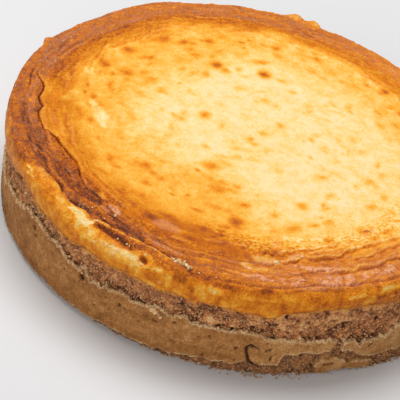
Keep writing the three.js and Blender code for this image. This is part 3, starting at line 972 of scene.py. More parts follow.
def side_relief(points):
    """The burst blister's ring and hole, and the fold under the lip that the first dark stroke marks."""
    at, where, high, size, deep = BLISTER_HOLE
    hole = np.linalg.norm(points - nearest_point(points, round_points(at, high, where)), axis=1) / size
    ring = stroke_depth(points, HOLE_RING)
    _, fold = DARK_AND_SHADE_STROKES[0]
    lift = 0.5 * smooth_step(0, 1, ring) - deep * hump(hole)
    return lift - 1.1 * smooth_step(-0.2, 0.8, stroke_depth(points, fold)), hole, ring


print("the blister's hole is", BLISTER_HOLE[-1], "mm deep")

# %% [markdown]
# The looks are values on the mesh's points, which the material reads by name. They could be
# painted textures, but a mesh this fine holds them itself, and they stay where the form is.

# %% Mesh of the filling
# The radius at which the browned top gives way to the golden side
SIDE_LINE = [
    (0, 117.5), (60, 118), (120, 119.5), (160, 119.8), (191, 120), (196, 119.5), (211, 119.5),
    (213.4, 119.2), (215.7, 118), (216.7, 115.8), (219.4, 113.2), (222.5, 111.1), (226.3, 112.1),
    (231.2, 113.3), (233.3, 113.2), (235.6, 112.4), (237.7, 112.6), (241.8, 114.6), (246.9, 115.5),
    (250.5, 116), (254, 115), (257, 117.5), (260, 118), (265, 117.5), (275, 116.2), (285, 115.8),
    (292, 113.6), (297, 114.4), (308, 115.6), (345, 116.8),
]

# How much darker the golden side is, round the cake
SIDE_TONE = [
    (0, 0.15), (90, 0.1), (180, 0.1), (215, 0.04), (240, 0), (270, 0.02), (290, 0.08), (320, 0.2),
]


def filling_looks(angle, radius, tilt, side, points, hole, hole_ring):
    """Where the filling is browned, pale, dark, wet or under painted sheen; pale places are partly painted
    highlights and dark ones partly painted shade.
    """
    on_top = smooth_step(0.5, 1, tilt)
    ragged = roughness(points, 4, 71)
    crest = around(CREST_RADIUS, angle)
    unbent = np.where(tilt < 1, blend(crest, TIN_RADIUS, np.cos(tilt * math.pi / 2)), radius)
    over = unbent - around(SIDE_LINE, angle) + 2.0 * (side == 1) + 0.7 * ragged
    brown_start = around(BROWN_RADIUS, angle)
    sheen_start = brown_start - 14 * stretch(angle, 275, 340, 14)
    rim_sheen = around(RIM_SHEEN, angle) * smooth_step(sheen_start, brown_start + 3, radius) * on_top
    looks = {name: painted(strokes, points, ragged) for name, strokes in STROKES.items()}
    # Painted shade in the blister's hole, and a pale ring round it, partly a painted highlight on its rim
    looks["dark"] = np.maximum(looks["dark"], 1.2 * hump(hole / 1.2))
    looks["pale"] = np.maximum(looks["pale"], 0.6 * smooth_step(-0.2, 0.8, hole_ring))
    looks["bloom"] = np.maximum(looks["bloom"], rim_sheen)
    looks["over"] = np.clip(over, -4, 4)
    looks["spots"] = browned_spots(points) * on_top
    looks["speckle"] = stretch(angle, 262, 342, 16) * hump((radius - 86) / 12)
    looks["tone"] = around(SIDE_TONE, angle)
    return looks


def make_filling(material):
    angles = column_angles(FILLING_COLUMNS, 172, 336, 1.6)
    rings = filling_rings(angles)
    bottom = BASE_THICKNESS + CUP_GAP
    angle, radius, height, tilt, side = join_rings(rings, bottom, middle_height)
    points = round_points(angle, height, radius)
    above_joint = height - joint_height(angle)
    lift, looks = top_relief(angle, radius, height, smooth_step(0.5, 1, tilt), points)
    side_lift, hole, hole_ring = side_relief(points)
    lift = (lift + side_lift) * smooth_step(-1.2, 0.6, above_joint) * (radius > 0.5)
    looks.update(filling_looks(angle, radius, tilt, side, points, hole, hole_ring))
    # Painted shade: the rim's hollows, to be browned darker
    looks["hollow"] = smooth_step(0.1, -0.5, lift) * smooth_step(*RIM_START, radius)
    looks["joint"] = np.clip(above_joint, -2, 8)
    lean = tilt * math.pi / 2
    points = round_points(angle, height + np.sin(lean) * lift, radius + np.cos(lean) * lift)
    return add_mesh("filling", points, closed_faces([len(ring[0]) for ring in rings]), looks, material)


# %% [markdown]
# Noise mottles the baked surface at several sizes. On the rim it is drawn out along the round,
# because the rim wrinkled that way, and on the side upwards, because the cake rose that way.

# %% Mottling of the filling
# Size in mm and detail of the plain noises
MOTTLES = {
    "mottle": (3.2, 3.0), "flecks": (1.5, 2.0), "grit": (0.8, 2.0),
    "clouds": (7.0, 3.0), "patches": (7.0, 2.0),
}


def filling_noises(finish):
    """The noises of the filling by name, each swinging about 0, and its veins."""
    place = finish.place()
    flat = finish.squeezed(place, (1, 1, 0))
    length = finish.vector("LENGTH", flat, output="Value")
    level = finish.make("ShaderNodeSeparateXYZ", {}, {0: place}, "Z")
    across = finish.make("ShaderNodeCombineXYZ", {}, {"Z": length * 0.9 + level})
    ring_place = finish.vector("ADD", finish.squeezed(place, (0.16, 0.16, 0.0)), across)
    noises = {name: finish.swing(place, *grade) for name, grade in MOTTLES.items()}
    noises["streaks"] = finish.swing(ring_place, 2.2, 4.0, 0.4)
    noises["upright"] = finish.swing(finish.squeezed(place, (1, 1, 0.18)), 2.4, 3.0)
    noises["veins"] = finish.veins(finish.swing(place, 5.0, 3.0, 1.2), 14.0)
    return SimpleNamespace(**noises)


print("noises of the filling:", ", ".join(MOTTLES), "and streaks, upright, veins")

# %% [markdown]
# Cream to red-brown along one ramp, with golden flecks between brown skin and darker creases.
# The side has a ramp of its own, because the tin kept it golden. One number, how brown, is easier
# to shift, mottle and stop at an edge than a colour is, so colours come in only at the ramps.

# %% Colours of the filling
TOP_STOPS = [
    (0, (0.92, 0.71, 0.37)), (0.14, (0.92, 0.61, 0.19)), (0.3, (0.9, 0.44, 0.05)),
    (0.46, (0.84, 0.295, 0.012)), (0.6, (0.68, 0.182, 0.006)), (0.74, (0.5, 0.12, 0.012)),
    (0.86, (0.33, 0.072, 0.014)), (1, (0.12, 0.026, 0.009)),
]
SIDE_STOPS = [
    (0, (0.98, 0.68, 0.24)), (0.25, (0.96, 0.45, 0.045)), (0.5, (0.86, 0.275, 0.012)),
    (0.75, (0.62, 0.155, 0.008)), (1, (0.3, 0.064, 0.007)),
]


def browned_top(finish, noise, rim, crust):
    """The top's colour, from how brown each place is."""
    look = finish.look
    grainy = 1 - look("calm") * 0.8
    brown = look("browning") + look("spots")
    brown = brown + noise.streaks * (rim * 0.26 + crust * 0.26) + noise.mottle * (crust * 0.20 + 0.24)
    brown = brown + noise.flecks * (crust * 0.38 + 0.26 + look("speckle")) * grainy
    brown = brown + noise.grit * (rim * 0.2 + crust * 0.42 + 0.12) * grainy
    # Painted shade: creases, hollows and dark strokes brown the colour; painted highlight: pale strokes,
    # crease lips and wrinkle ridges pale it
    brown = brown + look("crease") * 0.30 + look("dark") * 0.44 + noise.veins * crust * 0.08
    brown = brown + noise.clouds * (1 - rim) * 0.36
    brown = brown - look("pale") * 0.5 - look("edge") * 0.30 + look("hollow") * 0.08
    return finish.ramp(brown - look("wrinkle") * 0.16, TOP_STOPS)


def golden_side(finish, noise):
    """The side's colour, with faint upright streaks."""
    look = finish.look
    tone = noise.upright * 0.7 + noise.patches * 0.9 + noise.mottle * 0.5 + noise.flecks * 0.4
    tone = tone + noise.grit * 0.3 + look("tone") + 0.50 + look("dark") * 0.6 - look("pale") * 0.7
    return finish.ramp(tone, SIDE_STOPS)


print("colours on the ramps:", len(TOP_STOPS), "for the top,", len(SIDE_STOPS), "for the side")

# %% [markdown]
# Over the baked colour lie thin layers: a pinkish granular painted sheen on the ridges, painted
# glints in it, pale smears of cream that are partly painted highlights, and crumb that rubbed off
# along the joint. Each is one mix with its own mask, and noise in the mask makes it patchy.

# %% Layers on the filling
CREAM_AND_HIGHLIGHT = (1.0, 0.78, 0.42)
PAINTED_SHEEN = (0.93, 0.45, 0.25)
PAINTED_GLINT = (1.0, 0.78, 0.60)
CRUMB_TINT = (0.40, 0.15, 0.05)


def with_layers(finish, noise, crust, baked):
    """The baked colour with painted sheen, painted glints, cream that is partly painted highlight, and
    crumb over it.
    """
    look = finish.look
    bloom = look("bloom")
    calm = look("calm")
    bare = look("crease") * 0.8 + look("knob") * 0.7
    dusty = bloom * 0.8 + noise.grit * 1.4 + noise.flecks * 1.6 + noise.streaks * 1.2 - bare
    dusty = dusty.step(0.2, 0.8) * (1 - calm) + calm * bloom.step(0.20, 0.26)
    # Painted sheen, kept out of grooves and the hollows between knobs, and on crease lips as a painted
    # highlight
    powdery = (dusty * 0.95 + 0.12) * bloom + look("edge") * 0.4
    baked = finish.mix(powdery.clamped(), baked, PAINTED_SHEEN)
    # Painted glints: tiny near-white dots on the browned crust
    glint = (bloom * 0.3 + noise.grit * 2.0 + noise.flecks * 0.8).step(0.52, 0.66) * crust
    baked = finish.mix(glint * 0.8, baked, PAINTED_GLINT)
    # Cream colour, partly real cream and partly painted highlight
    creamy = look("pale") + noise.streaks * 2.0 + noise.flecks * 1.4 + noise.upright * 0.9
    baked = finish.mix(creamy.step(0.42, 1.15) * 0.85, baked, CREAM_AND_HIGHLIGHT)
    crumbly = (0.6 - look("joint") + noise.flecks * 4.0 + noise.mottle * 4.0).step(-0.8, 1.0)
    return finish.mix(crumbly * 0.7, baked, CRUMB_TINT)


print("layers:", {"cream": CREAM_AND_HIGHLIGHT, "bloom": PAINTED_SHEEN, "glint": PAINTED_GLINT, "crumb": CRUMB_TINT})

# %% [markdown]
# The whole finish: top and side meet along a ragged line, the layers lie over both, and a moist
# gloss comes from a thin coat that is stronger where syrup has come out. A little light goes
# through the cheese, which softens its shadows.

# %% Finish of the filling
def filling_finish():
    finish = Finish("baked_filling")
    noise = filling_noises(finish)
    rim = finish.look("browning").step(0.30, 0.62)
    crust = finish.look("browning").step(0.54, 0.76)
    wet = finish.look("wet")
    sided = (finish.look("over") + noise.flecks * 3.0 + noise.mottle * 2.0).step(-0.5, 0.5)
    baked = finish.mix(sided, browned_top(finish, noise, rim, crust), golden_side(finish, noise))
    bumps = noise.grit * (rim * 0.8 + 0.2) + noise.flecks * (rim * 0.9 + 0.15)
    bumps = bumps + noise.streaks * rim * 0.7 - noise.veins * rim * 0.15
    return finish.surface({
        "Base Color": with_layers(finish, noise, crust, baked),
        "Roughness": (0.54 - rim * 0.10 - wet * 0.22 + noise.mottle * 0.3).clamped(),
        "Coat Weight": (wet * 0.4).clamped(),
        "Coat Roughness": 0.22,
        "Specular IOR Level": 0.1,
        "Subsurface Weight": 0.12,
        "Subsurface Radius": (1.0, 0.45, 0.15),
        "Subsurface Scale": 2.5 * MM,
        "Normal": finish.bump(bumps, 0.9, 0.9),
    })


filling = make_filling(filling_finish())
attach(filling, "root")
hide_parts("cheese_filling")

# %% [markdown]
# The crumb cup is made in two layers, as it really is. The inner layer is pressed crumb, torn
# and porous where it shows. The outer layer is the thin smooth skin that was pressed against
# the tin, with a ragged upper edge, cracks, pinholes and places where it has flaked off. Making
# the skin a shell of its own gives its edge a real thickness and a shadow under it.

# %% Edge of the skin
# Height of the edge away from the front, as (angle, height)
SKIN_EDGE_HEIGHT = [(0, 24), (55, 27), (105, 25), (150, 29), (182, 27), (200, 19), (318, 21.5), (335, 21)]

# The ragged edge along the front: its peaks, notches and steps, as (angle, height)
FRONT_EDGE = [
    (203.1, 18.7), (206.5, 22.5), (210.4, 24.7), (215.3, 25.6), (217.6, 27.1), (220, 30.1), (225.5, 31),
    (228.6, 29.4), (229.4, 27.7), (232.4, 29.6), (234.4, 28.5), (235.2, 26.7), (237.2, 25), (240.1, 26.3),
    (241.3, 28.4), (243.3, 22), (244.5, 24.8), (246.1, 21.7), (247.2, 26.3), (248, 24.4), (251.3, 26.6),
    (253.7, 25.4), (256.6, 25.3), (259.9, 28.3), (262.8, 25.4), (266, 27.5), (267.3, 24.8), (271.9, 25.8),
    (275.5, 24.8), (278.2, 26.9), (282.1, 25.5), (285.2, 22.7), (286.6, 24), (291, 23.2), (292, 21.9),
    (297.2, 23), (300.3, 20.9), (301.4, 19.4), (302.2, 20.6), (303.9, 20.4), (304.8, 18.8), (306.1, 15.4),
    (306.8, 18.6), (309.1, 17.7), (312.6, 18.4), (316.1, 21.1),
]

# Height up to which the skin has worn off at the foot
FOOT_WEAR = [
    (0, 1.2), (60, 2), (120, 1), (190, 1.2), (225, 1.4), (240, 2.6), (258, 3.4), (264, 4.6), (277, 6.8),
    (283, 8.4), (288, 8.2), (296, 6), (297.4, 0.8), (301.3, 2.2), (304.1, 3), (305.6, 1.6), (308.5, 0.8),
    (311.2, 4.4), (319, 5.5), (330, 4), (345, 1.5),
]

# At the front right the worn foot has slumped outwards, by this much at the floor
FOOT_SPREAD = [(0, 0), (302, 0), (308, 2), (319, 4.4), (332, 3.4), (350, 0)]


def skin_edge(angle):
    """Height of the skin's ragged upper edge."""
    place = round_points(angle, 0)
    tooth = grain(place, 4.5, 81)
    rag = layers(place, (0.9, 11, 82), (0.35, 1.5, 83)) + 1.8 * tooth * np.abs(tooth)
    seen = np.interp(angle, *np.array(FRONT_EDGE).T) + 0.7 * roughness(place, 1.8, 84, 2)
    return blend(around(SKIN_EDGE_HEIGHT, angle) + rag, seen, stretch(angle, 204, 315, 3))


def foot_line(angle):
    """Height below which the skin has worn off at the foot."""
    ragged = layers(round_points(angle, 0), (0.6, 6, 85), (0.7, 2.2, 86))
    return np.maximum(around(FOOT_WEAR, angle) + ragged, 0.1)


def foot_spread(angle, height):
    """How far the foot stands out beyond the straight wall."""
    return around(FOOT_SPREAD, angle) * smooth_step(8, 0, height)


print("skin's edge at the front, mm:", skin_edge(np.array([220.0, 250.0, 280.0, 310.0])).round(1))

# %% [markdown]
# Missing flakes are outlines, cracks are lines and pinholes are discs, all drawn on the unrolled
# wall. The signed distance to each of them says how far a place lies inside bare crumb, and
# taking the largest joins them into one field. A boolean cut would do the same far more slowly.

# %% Damage of the skin
# Where the skin is gone: outlines as (angle, height)
BARE_OUTLINES = [
    [(287.5, -1), (287.6, 10.4), (288.4, 14.9), (290.9, 14.3), (292.5, 16.1), (295.4, 14.7),
        (298.3, 15.5), (299.3, 19), (300.3, 26), (301.6, 26), (301.3, 19), (301.4, 14.4), (303, 14.7),
        (305, 12.6), (306.3, 9.7), (309.4, 7), (312.8, 6.6), (319.3, 5.5), (330, 5), (330, -1), (311, -1),
        (311.2, 4.6), (310.1, 5.2), (305.8, 6.8), (304.2, 5.9), (302.5, 9), (300.2, 11.1), (297.4, 10.4),
        (296.1, 8.6), (295.6, 5), (297.4, -1)],
    [(24, -1), (26, 4), (25, 8), (29, 10.5), (31, 8), (34, 12), (37, 7.5), (40, 6), (42, 2), (41, -1)],
    [(110, 15), (113, 17), (117, 16.4), (121, 18), (126, 16), (124, 14.2), (119, 14.8), (115, 13)],
]

# Cracks through the skin: width in mm and a line of (angle, height)
SKIN_CRACKS = [
    (1, [(282.5, 17.4), (280.8, 18.7), (280, 18.4), (279.8, 16.8), (280, 14.4), (280.9, 9.7),
        (282, 7.5)]),
    (0.8, [(284.1, 16), (285, 17.3)]),
    (0.5, [(285.5, 10.3), (285.5, 13.4)]),
    (0.7, [(298.3, 6.6), (300.3, 6.7)]),
    (0.4, [(304.2, 6), (303.6, 3.4)]),
    (0.5, [(196, 26), (199, 20), (198, 15)]),
]

# Pinholes: angle, height, radius
PINHOLES = [
    (223.9, 24.9, 1.6), (224.9, 21.7, 1), (227.7, 18.5, 0.8), (231.5, 21.8, 0.8), (240.9, 21.9, 2),
    (248, 15.2, 0.7), (245.2, 11.3, 0.7), (247.9, 19.4, 0.7), (251.2, 19.1, 1.2), (253.2, 16.7, 0.7),
    (252.5, 18.6, 0.7), (259.3, 18.8, 0.8), (259.9, 18.8, 0.8), (263.8, 22, 1), (274.4, 14.9, 0.7),
    (275, 16.7, 0.7), (277.6, 16.2, 1), (277.9, 8.8, 0.7), (269.4, 18.1, 0.7), (271.6, 19.9, 0.7),
    (215.9, 24.2, 0.7), (217.7, 24.8, 0.7), (309, 14.5, 1.2), (235.7, 18.9, 0.7),
]
RANDOM_PINHOLES = 130


def unrolled(line):
    """A line of (angle, height) as millimetres along the wall and up."""
    return [(math.radians(at) * TIN_RADIUS, high) for at, high in line]


def wall_distance(angle, height, at, high, flatter=1.0):
    """Distance on the wall to the place (at, high). The flatter it is, the more height counts."""
    return np.hypot(np.radians(turn(at, angle)) * TIN_RADIUS, flatter * (height - high))


def edge_distance(u, v, start, end):
    """Distance from places (u, v) to the straight line between two points."""
    du = end[0] - start[0]
    dv = end[1] - start[1]
    along = np.clip(((u - start[0]) * du + (v - start[1]) * dv) / (du * du + dv * dv), 0, 1)
    return np.hypot(u - start[0] - along * du, v - start[1] - along * dv)


def line_distance(u, v, line):
    """Distance to an open line."""
    return np.min([edge_distance(u, v, *ends) for ends in zip(line, line[1:])], axis=0)


def outline_depth(u, v, outline):
    """Signed distance into a closed outline: positive inside it."""
    inside = np.zeros(u.shape, dtype=bool)
    for (ax, ay), (bx, by) in zip(outline, outline[1:] + outline[:1]):
        if ay != by:
            inside ^= ((ay > v) != (by > v)) & (u < ax + (v - ay) * (bx - ax) / (by - ay))
    nearest = line_distance(u, v, outline + outline[:1])
    return np.where(inside, nearest, -nearest)


def bareness(angle, height):
    """How far a place lies inside bare crumb, in mm, negative under skin: all, and only holes."""
    points = round_points(angle, height)
    ragged = layers(points, (0.5, 2.2, 87), (0.25, 1.0, 88))
    along = np.radians(angle) * TIN_RADIUS
    bare = foot_line(angle) - height + 1.2 * ragged
    for outline in BARE_OUTLINES:
        bare = np.maximum(bare, outline_depth(along, height, unrolled(outline)) + ragged * 0.8)
    pinhole = np.full(len(points), -9.0)
    for width, line in SKIN_CRACKS:
        gap = line_distance(along, height, unrolled(line))
        pinhole = np.maximum(pinhole, width - gap + 0.6 * ragged)
    draw = np.random.default_rng(33)
    holes = PINHOLES + [(draw.uniform(0, 360), draw.uniform(5, 22), 0.2 + 0.5 * draw.uniform() ** 2)
                        for _ in range(RANDOM_PINHOLES)]
    for at, high, size in holes:
        gap = wall_distance(angle, height, at, high)
        pinhole = np.maximum(pinhole, size - gap + 0.3 * ragged)
    return np.maximum(bare, pinhole), pinhole


print(len(BARE_OUTLINES), "missing flakes,", len(SKIN_CRACKS), "cracks and",
      len(PINHOLES) + RANDOM_PINHOLES, "pinholes")

# %% [markdown]
# The skin is a shell. Its outer face follows the tin, its upper edge rolls over to a crumbly
# lip, and its inner face is hidden in the crumb. Where it is gone the shell simply dives under
# the crumb's surface, so one mesh has cracks, pinholes and missing flakes with true edges.

# %% Mesh of the skin
CRUST_COLUMNS = 1240
SKIN_ROWS = 46
SKIN_INNER_RADIUS = 117.0

# Where the columns are closer: first and last angle, and how many times as close
CRUST_STRETCH = (195, 336, 1.75)

# Rows that roll over the edge, as how far up and how far out. The first few have its pale tone, partly a
# painted highlight
SKIN_LIP = [(0.25, -0.15), (0.35, -0.6), (0.1, -1.2), (-0.8, -2.0)]
LIP_SHOWN = 3

# A pinhole keeps a bottom painted near-black as shade, and a bare place dives under the crumb behind it
PINHOLE_DEPTH = 1.4
BARE_DEPTH = 3.0


def skin_radius(angle, height):
    """Radius of the whole skin, before anything has broken off."""
    points = round_points(angle, height)
    worn = 1.8 * (1 - smooth_step(0, 4, height)) * (0.7 + 0.5 * grain(points, 6, 91))
    uneven = layers(points, (0.22, 24, 92), (0.10, 7, 93))
    return TIN_RADIUS - worn + foot_spread(angle, height) + uneven


def skin_rows(angles, edge):
    """Rows of the shell as (angles, radius, height): outer face, lip and inner face."""
    shares = np.linspace(0, 1, SKIN_ROWS) ** 0.93
    rows = [(angles, skin_radius(angles, share * edge), share * edge) for share in shares]
    rows += [(angles, skin_radius(angles, edge) + out, edge + up) for up, out in SKIN_LIP]
    rows.append((angles, np.full_like(edge, SKIN_INNER_RADIUS), edge - 2.5))
    rows.append((angles, np.full_like(edge, SKIN_INNER_RADIUS - 0.3), 0 * edge))
    return rows


def make_skin(material):
    angles = column_angles(CRUST_COLUMNS, *CRUST_STRETCH)
    edge = skin_edge(angles)
    rows = skin_rows(angles, edge)
    angle, radius, height = (np.concatenate(values) for values in zip(*rows))
    row = np.arange(len(angle)) // CRUST_COLUMNS
    outer = row < SKIN_ROWS
    lip = 1.0 * ((row >= SKIN_ROWS) & (row < SKIN_ROWS + LIP_SHOWN))

    points = round_points(angle, height)
    bare, pinhole = bareness(angle, height)
    bare = np.where(outer, bare, -9.0)
    below_edge = np.where(outer, np.tile(edge, len(rows)) - height, 0.0)
    patchy = smooth_step(-0.3, 0.5, grain(points, 3.5, 97))
    rim = bell((bare + 0.4) / 0.4) * (0.7 + 0.3 * patchy) * (pinhole < -1.5)
    rim += bell((below_edge - 0.3) / 0.6) * (0.5 + 0.5 * patchy)
    broken = roughness(points, 2.0, 94, 2)
    depth = np.where(pinhole > 0, PINHOLE_DEPTH, BARE_DEPTH) * smooth_step(0.0, 0.55, bare)
    fine = roughness(points, 1.7, 95)
    dents, dent_kind = nearest_seed(points, 3.2, 98)
    dented = dent_kind > 0.55
    near_edge = bell(below_edge / 2.5) + bell((height - 2) / 2.5)
    relief = rim * (0.3 + 0.45 * broken) - depth + 0.10 * fine + 0.16 * fine * near_edge
    relief -= 0.3 * hump(dents / 0.3) * dented
    relief += 0.25 * hump((bare + 2.2) / 2.4) * grain(points, 6, 96)
    radius = radius + np.where(outer, relief, 0.3 * fine * lip)

    count = len(angles)
    faces = []
    for k in range(len(rows)):
        faces += ring_faces(k * count, count, (k + 1) % len(rows) * count, count)
    looks = {
        "lip": np.clip(rim * smooth_step(0.2, -0.1, bare) + lip, 0, 1),
        "foot": bell(height / 6),
        # Painted shade: inside marks holes and cracks to be painted near-black, dent marks dents to be
        # painted darker
        "inside": smooth_step(0.05, 0.5, bare),
        "dent": hump(dents / 0.34) * dented * outer,
        # Painted light: the skin is lighter towards the right of the front
        "light": stretch(angle, 285, 340, 20),
    }
    return add_mesh("crust_skin", round_points(angle, height, radius), faces, looks, material)


# %% [markdown]
# The crumb layer is the whole cup. Its outer wall is displaced by grains, by pores and by larger
# pits, coarser at the left and towards the right of the front, and it is undercut just above the
# skin's edge. Its rows are closest in the torn band that shows.

# %% Mesh of the crumb cup
# The cavities that stand out in the torn crumb: angle, height and half width
PITS = [
    (291.7, 33.7, 1.3), (297.6, 34, 1.1), (293.2, 39, 1), (300.7, 28.7, 1.3), (301.5, 22.8, 1),
    (305.8, 20.7, 1.2), (304.6, 28.9, 1.1), (290.9, 27.6, 1), (287.6, 23.8, 1), (284.7, 31.9, 1.3),
    (280.6, 27.8, 2.2), (276, 25.6, 1.6), (273, 25.6, 1.6), (268, 25.8, 1), (256.8, 25.6, 0.9),
    (246.3, 22.6, 1), (249, 24.8, 0.9), (238, 25.6, 1.1), (233.3, 30.5, 0.8), (229.9, 28.6, 1.3),
    (226.1, 31.4, 0.9), (218.9, 30.2, 1.1), (211.1, 31.2, 1.3), (297.4, 26.7, 1), (299.3, 25.8, 0.8),
    (293.2, 23.8, 1), (300.3, 31.3, 0.9), (286.5, 36.4, 0.9), (303.1, 39, 0.9), (296, 5.2, 1.6),
    (294.8, 3.2, 1.2), (311.2, 3.6, 2), (302.4, 11.6, 1.2), (224.2, 25.7, 1.3), (228.6, 31, 1.2),
    (234.4, 30.6, 0.9), (236, 25.7, 1.6), (240.6, 23.2, 1.6), (213.2, 34.8, 1.2), (226.4, 32.7, 0.9),
]
BAND_STEP = 0.5
BURIED_STEP = 0.75
BAND_BOTTOM = 18.0

# How far the crumb's wall lies inside the skin's face, which is half as much at the joint
CRUMB_INSET = 1.75

# Where the crumb is coarser: how much, first and last angle, fade
COARSE = [(0.75, 264, 322, 10), (0.6, 202, 246, 8), (0.3, 60, 170, 20)]


def crumb_rings(angles):
    """Rings up the outer wall, over its top, and down inside the cup."""
    joint = joint_height(angles)
    edge = skin_edge(angles)
    band = np.linspace(0, 1, int((CRUST_HEIGHT - BAND_BOTTOM) / BAND_STEP))
    heights = [0 * angles + height for height in np.arange(0, BAND_BOTTOM, BURIED_STEP)]
    heights += [blend(BAND_BOTTOM, joint, share) for share in band]
    rings = []
    for height in heights:
        inset = CRUMB_INSET * (1 - 0.5 * smooth_step(0, 1, (height - edge) / (joint - edge)))
        under = smooth_step(4, 0, height) * 0.9 - foot_spread(angles, height)
        rings.append((angles, TIN_RADIUS - inset - under, height, 0, 1))
    half = angles[::2]
    rings.append((angles, TIN_RADIUS - 2.6, joint + 0.15, 1, 1))
    rings.append((half, WALL_INNER_RADIUS, joint_height(half), 1, 1))
    rings.append((half, WALL_INNER_RADIUS, BASE_THICKNESS, 0, 1))
    return rings


def crumb_pits(angle, height, points):
    """How deep each place lies in a cavity, from 0 to 1: random ones and those of their own place."""
    pits, kind = nearest_seed(points, 5.5, 121)
    pit = hump(pits / 0.36) * (kind > 0.5)
    frayed = 0.2 * roughness(points, 1.6, 134, 2)
    for at, high, size in PITS:
        gap = wall_distance(angle, height, at, high, 1.3)
        pit = np.maximum(pit, smooth_step(1.15, 0.6, gap / size + frayed))
    return pit


def make_crumb(material):
    rings = crumb_rings(column_angles(CRUST_COLUMNS, *CRUST_STRETCH))
    angle, radius, height, tilt, _ = join_rings(rings, 0.0, BASE_THICKNESS)
    points = round_points(angle, height, radius)
    coarse = 0.35 + sum(swell(angle, *place) for place in COARSE)
    grains, _ = nearest_seed(points, 1.35, 101)
    pores, pore_kind = nearest_seed(points, 2.3, 111)
    pore = hump(pores / 0.42) * (pore_kind > 0.35)
    above_edge = height - skin_edge(angle)
    undercut = bell((above_edge - 0.7) / 0.9) * smooth_step(-0.2, 0.5, roughness(points, 4, 131))
    lift = 0.45 * roughness(points, 7, 132) * coarse + 0.45 * roughness(points, 2.8, 133) * (0.4 + coarse)
    lift += 0.5 * (0.55 - grains) - 0.75 * pore * (0.4 + 0.6 * coarse)
    lift -= 1.9 * crumb_pits(angle, height, points) * (0.3 + 0.7 * coarse) + 1.1 * undercut
    lift = np.where((radius > WALL_INNER_RADIUS + 3) & (tilt == 0), lift, 0.0)
    covered = smooth_step(0.5, -1.0, above_edge) * smooth_step(-1, 1, height - around(FOOT_WEAR, angle))
    covered *= 1 - stretch(angle, 286, 309, 2) * smooth_step(26, 24, height)
    lift = np.minimum(lift, blend(9.0, 0.2, covered))
    looks = {
        # depth drives painted shade in pores and pits, raised painted light on raised grains
        "depth": np.clip(-lift / 1.6, 0, 1),
        "raised": np.clip(lift / 0.8, 0, 1),
        "coarse": np.clip(coarse, 0, 1),
        "foot": smooth_step(19, 12, height),
        "joint": np.clip(joint_height(angle) - height, 0, 8),
    }
    points = round_points(angle, height, radius + lift)
    return add_mesh("crust_crumb", points, closed_faces([len(ring[0]) for ring in rings]), looks, material)


# %% [markdown]
# Pressed crumb is brown, darker by the depth of its pores and pits as painted shade, with paler,
# sandier raised grains whose paleness is painted light. The skin is smoother and tan, with faint
# level bands, fine darker speckles, a darker foot, painted light towards the right of the front,
# painted shade in its dents, pinholes and cracks, and pale dry edges wherever it has broken, partly
# a painted highlight. Both are matt, so nearly all of their look is in the colour ramps and the
# bump.

# %% Finishes of the crust
CRUMB_STOPS = [
    (0.0, (0.060, 0.020, 0.009)), (0.25, (0.25, 0.086, 0.038)), (0.5, (0.52, 0.198, 0.066)),
    (0.75, (0.74, 0.37, 0.14)), (1.0, (0.95, 0.64, 0.33)),
]
WORN_CRUMB = (0.30, 0.155, 0.062)
PALE_SPECK = (0.85, 0.56, 0.34)
GOLDEN_CRUMB = (0.80, 0.32, 0.06)
SKIN_STOPS = [
    (0.0, (0.13, 0.048, 0.013)), (0.35, (0.33, 0.132, 0.036)), (0.6, (0.46, 0.20, 0.058)),
    (1.0, (0.74, 0.42, 0.17)),
]
SKIN_LIP_PALE_AND_HIGHLIGHT = (0.90, 0.64, 0.35)
SKIN_HOLE_SHADE = (0.055, 0.022, 0.009)


def crumb_finish():
    finish = Finish("torn_crumb")
    look = finish.look
    place = finish.place()
    blotch = finish.swing(place, 5.0, 3.0)
    speckle = finish.swing(place, 1.2, 3.0)
    grains = finish.dots(place, 1.2)
    tone = blotch * 0.6 + speckle + 0.46 - grains * 0.25 + look("coarse") * 0.11
    # Painted shade by depth, painted light on raised grains
    tone = tone + look("raised") * 0.26 - look("depth") * 0.38 - look("foot") * 0.16
    specks = finish.noise(place, 0.9, 2.0).step(0.58, 0.72)
    worn = finish.mix(look("foot") * 0.4, finish.ramp(tone, CRUMB_STOPS), WORN_CRUMB)
    worn = finish.mix(specks * 0.45, worn, PALE_SPECK)
    golden = (2.0 - look("joint") + speckle * 4.0 + blotch * 5.0).step(-0.4, 2.2)
    bumps = finish.noise(place, 0.7, 3.0) + (1 - grains) * 0.6
    return finish.surface({
        "Base Color": finish.mix(golden * 0.7, worn, GOLDEN_CRUMB),
        "Roughness": 0.9,
        "Specular IOR Level": 0.1,
        "Normal": finish.bump(bumps, 0.6, 0.9),
    })


def skin_finish():
    finish = Finish("pressed_skin")
    look = finish.look
    place = finish.place()
    cloud = finish.swing(place, 12.0, 2.0)
    blotch = finish.swing(place, 4.0, 3.0)
    bands = finish.swing(finish.squeezed(place, (0.08, 0.08, 1.0)), 2.5, 2.0)
    speckle = finish.swing(place, 1.1, 3.0)
    tone = cloud * 0.6 + blotch * 0.7 + bands * 0.25 + speckle * 0.9 + 0.5
    # Painted light on the right of the front, painted shade in dents
    tone = tone + look("light") * 0.22 - look("dent") * 0.3 - look("foot") * 0.22
    crumbs = finish.noise(place, 1.3, 3.0)
    # The broken lip is paler, partly pale crumb and partly a painted highlight
    lip = (look("lip") * (crumbs * 3.2 - 0.9)).clamped()
    edged = finish.mix(lip * 0.9, finish.ramp(tone, SKIN_STOPS), SKIN_LIP_PALE_AND_HIGHLIGHT)
    return finish.surface({
        # Painted shade: near-black where the skin is broken through
        "Base Color": finish.mix(look("inside"), edged, SKIN_HOLE_SHADE),
        "Roughness": 0.75,
        "Specular IOR Level": 0.12,
        "Normal": finish.bump(speckle * 1.2 + blotch * 1.2 + crumbs * 0.5, 0.6, 0.8),
    })


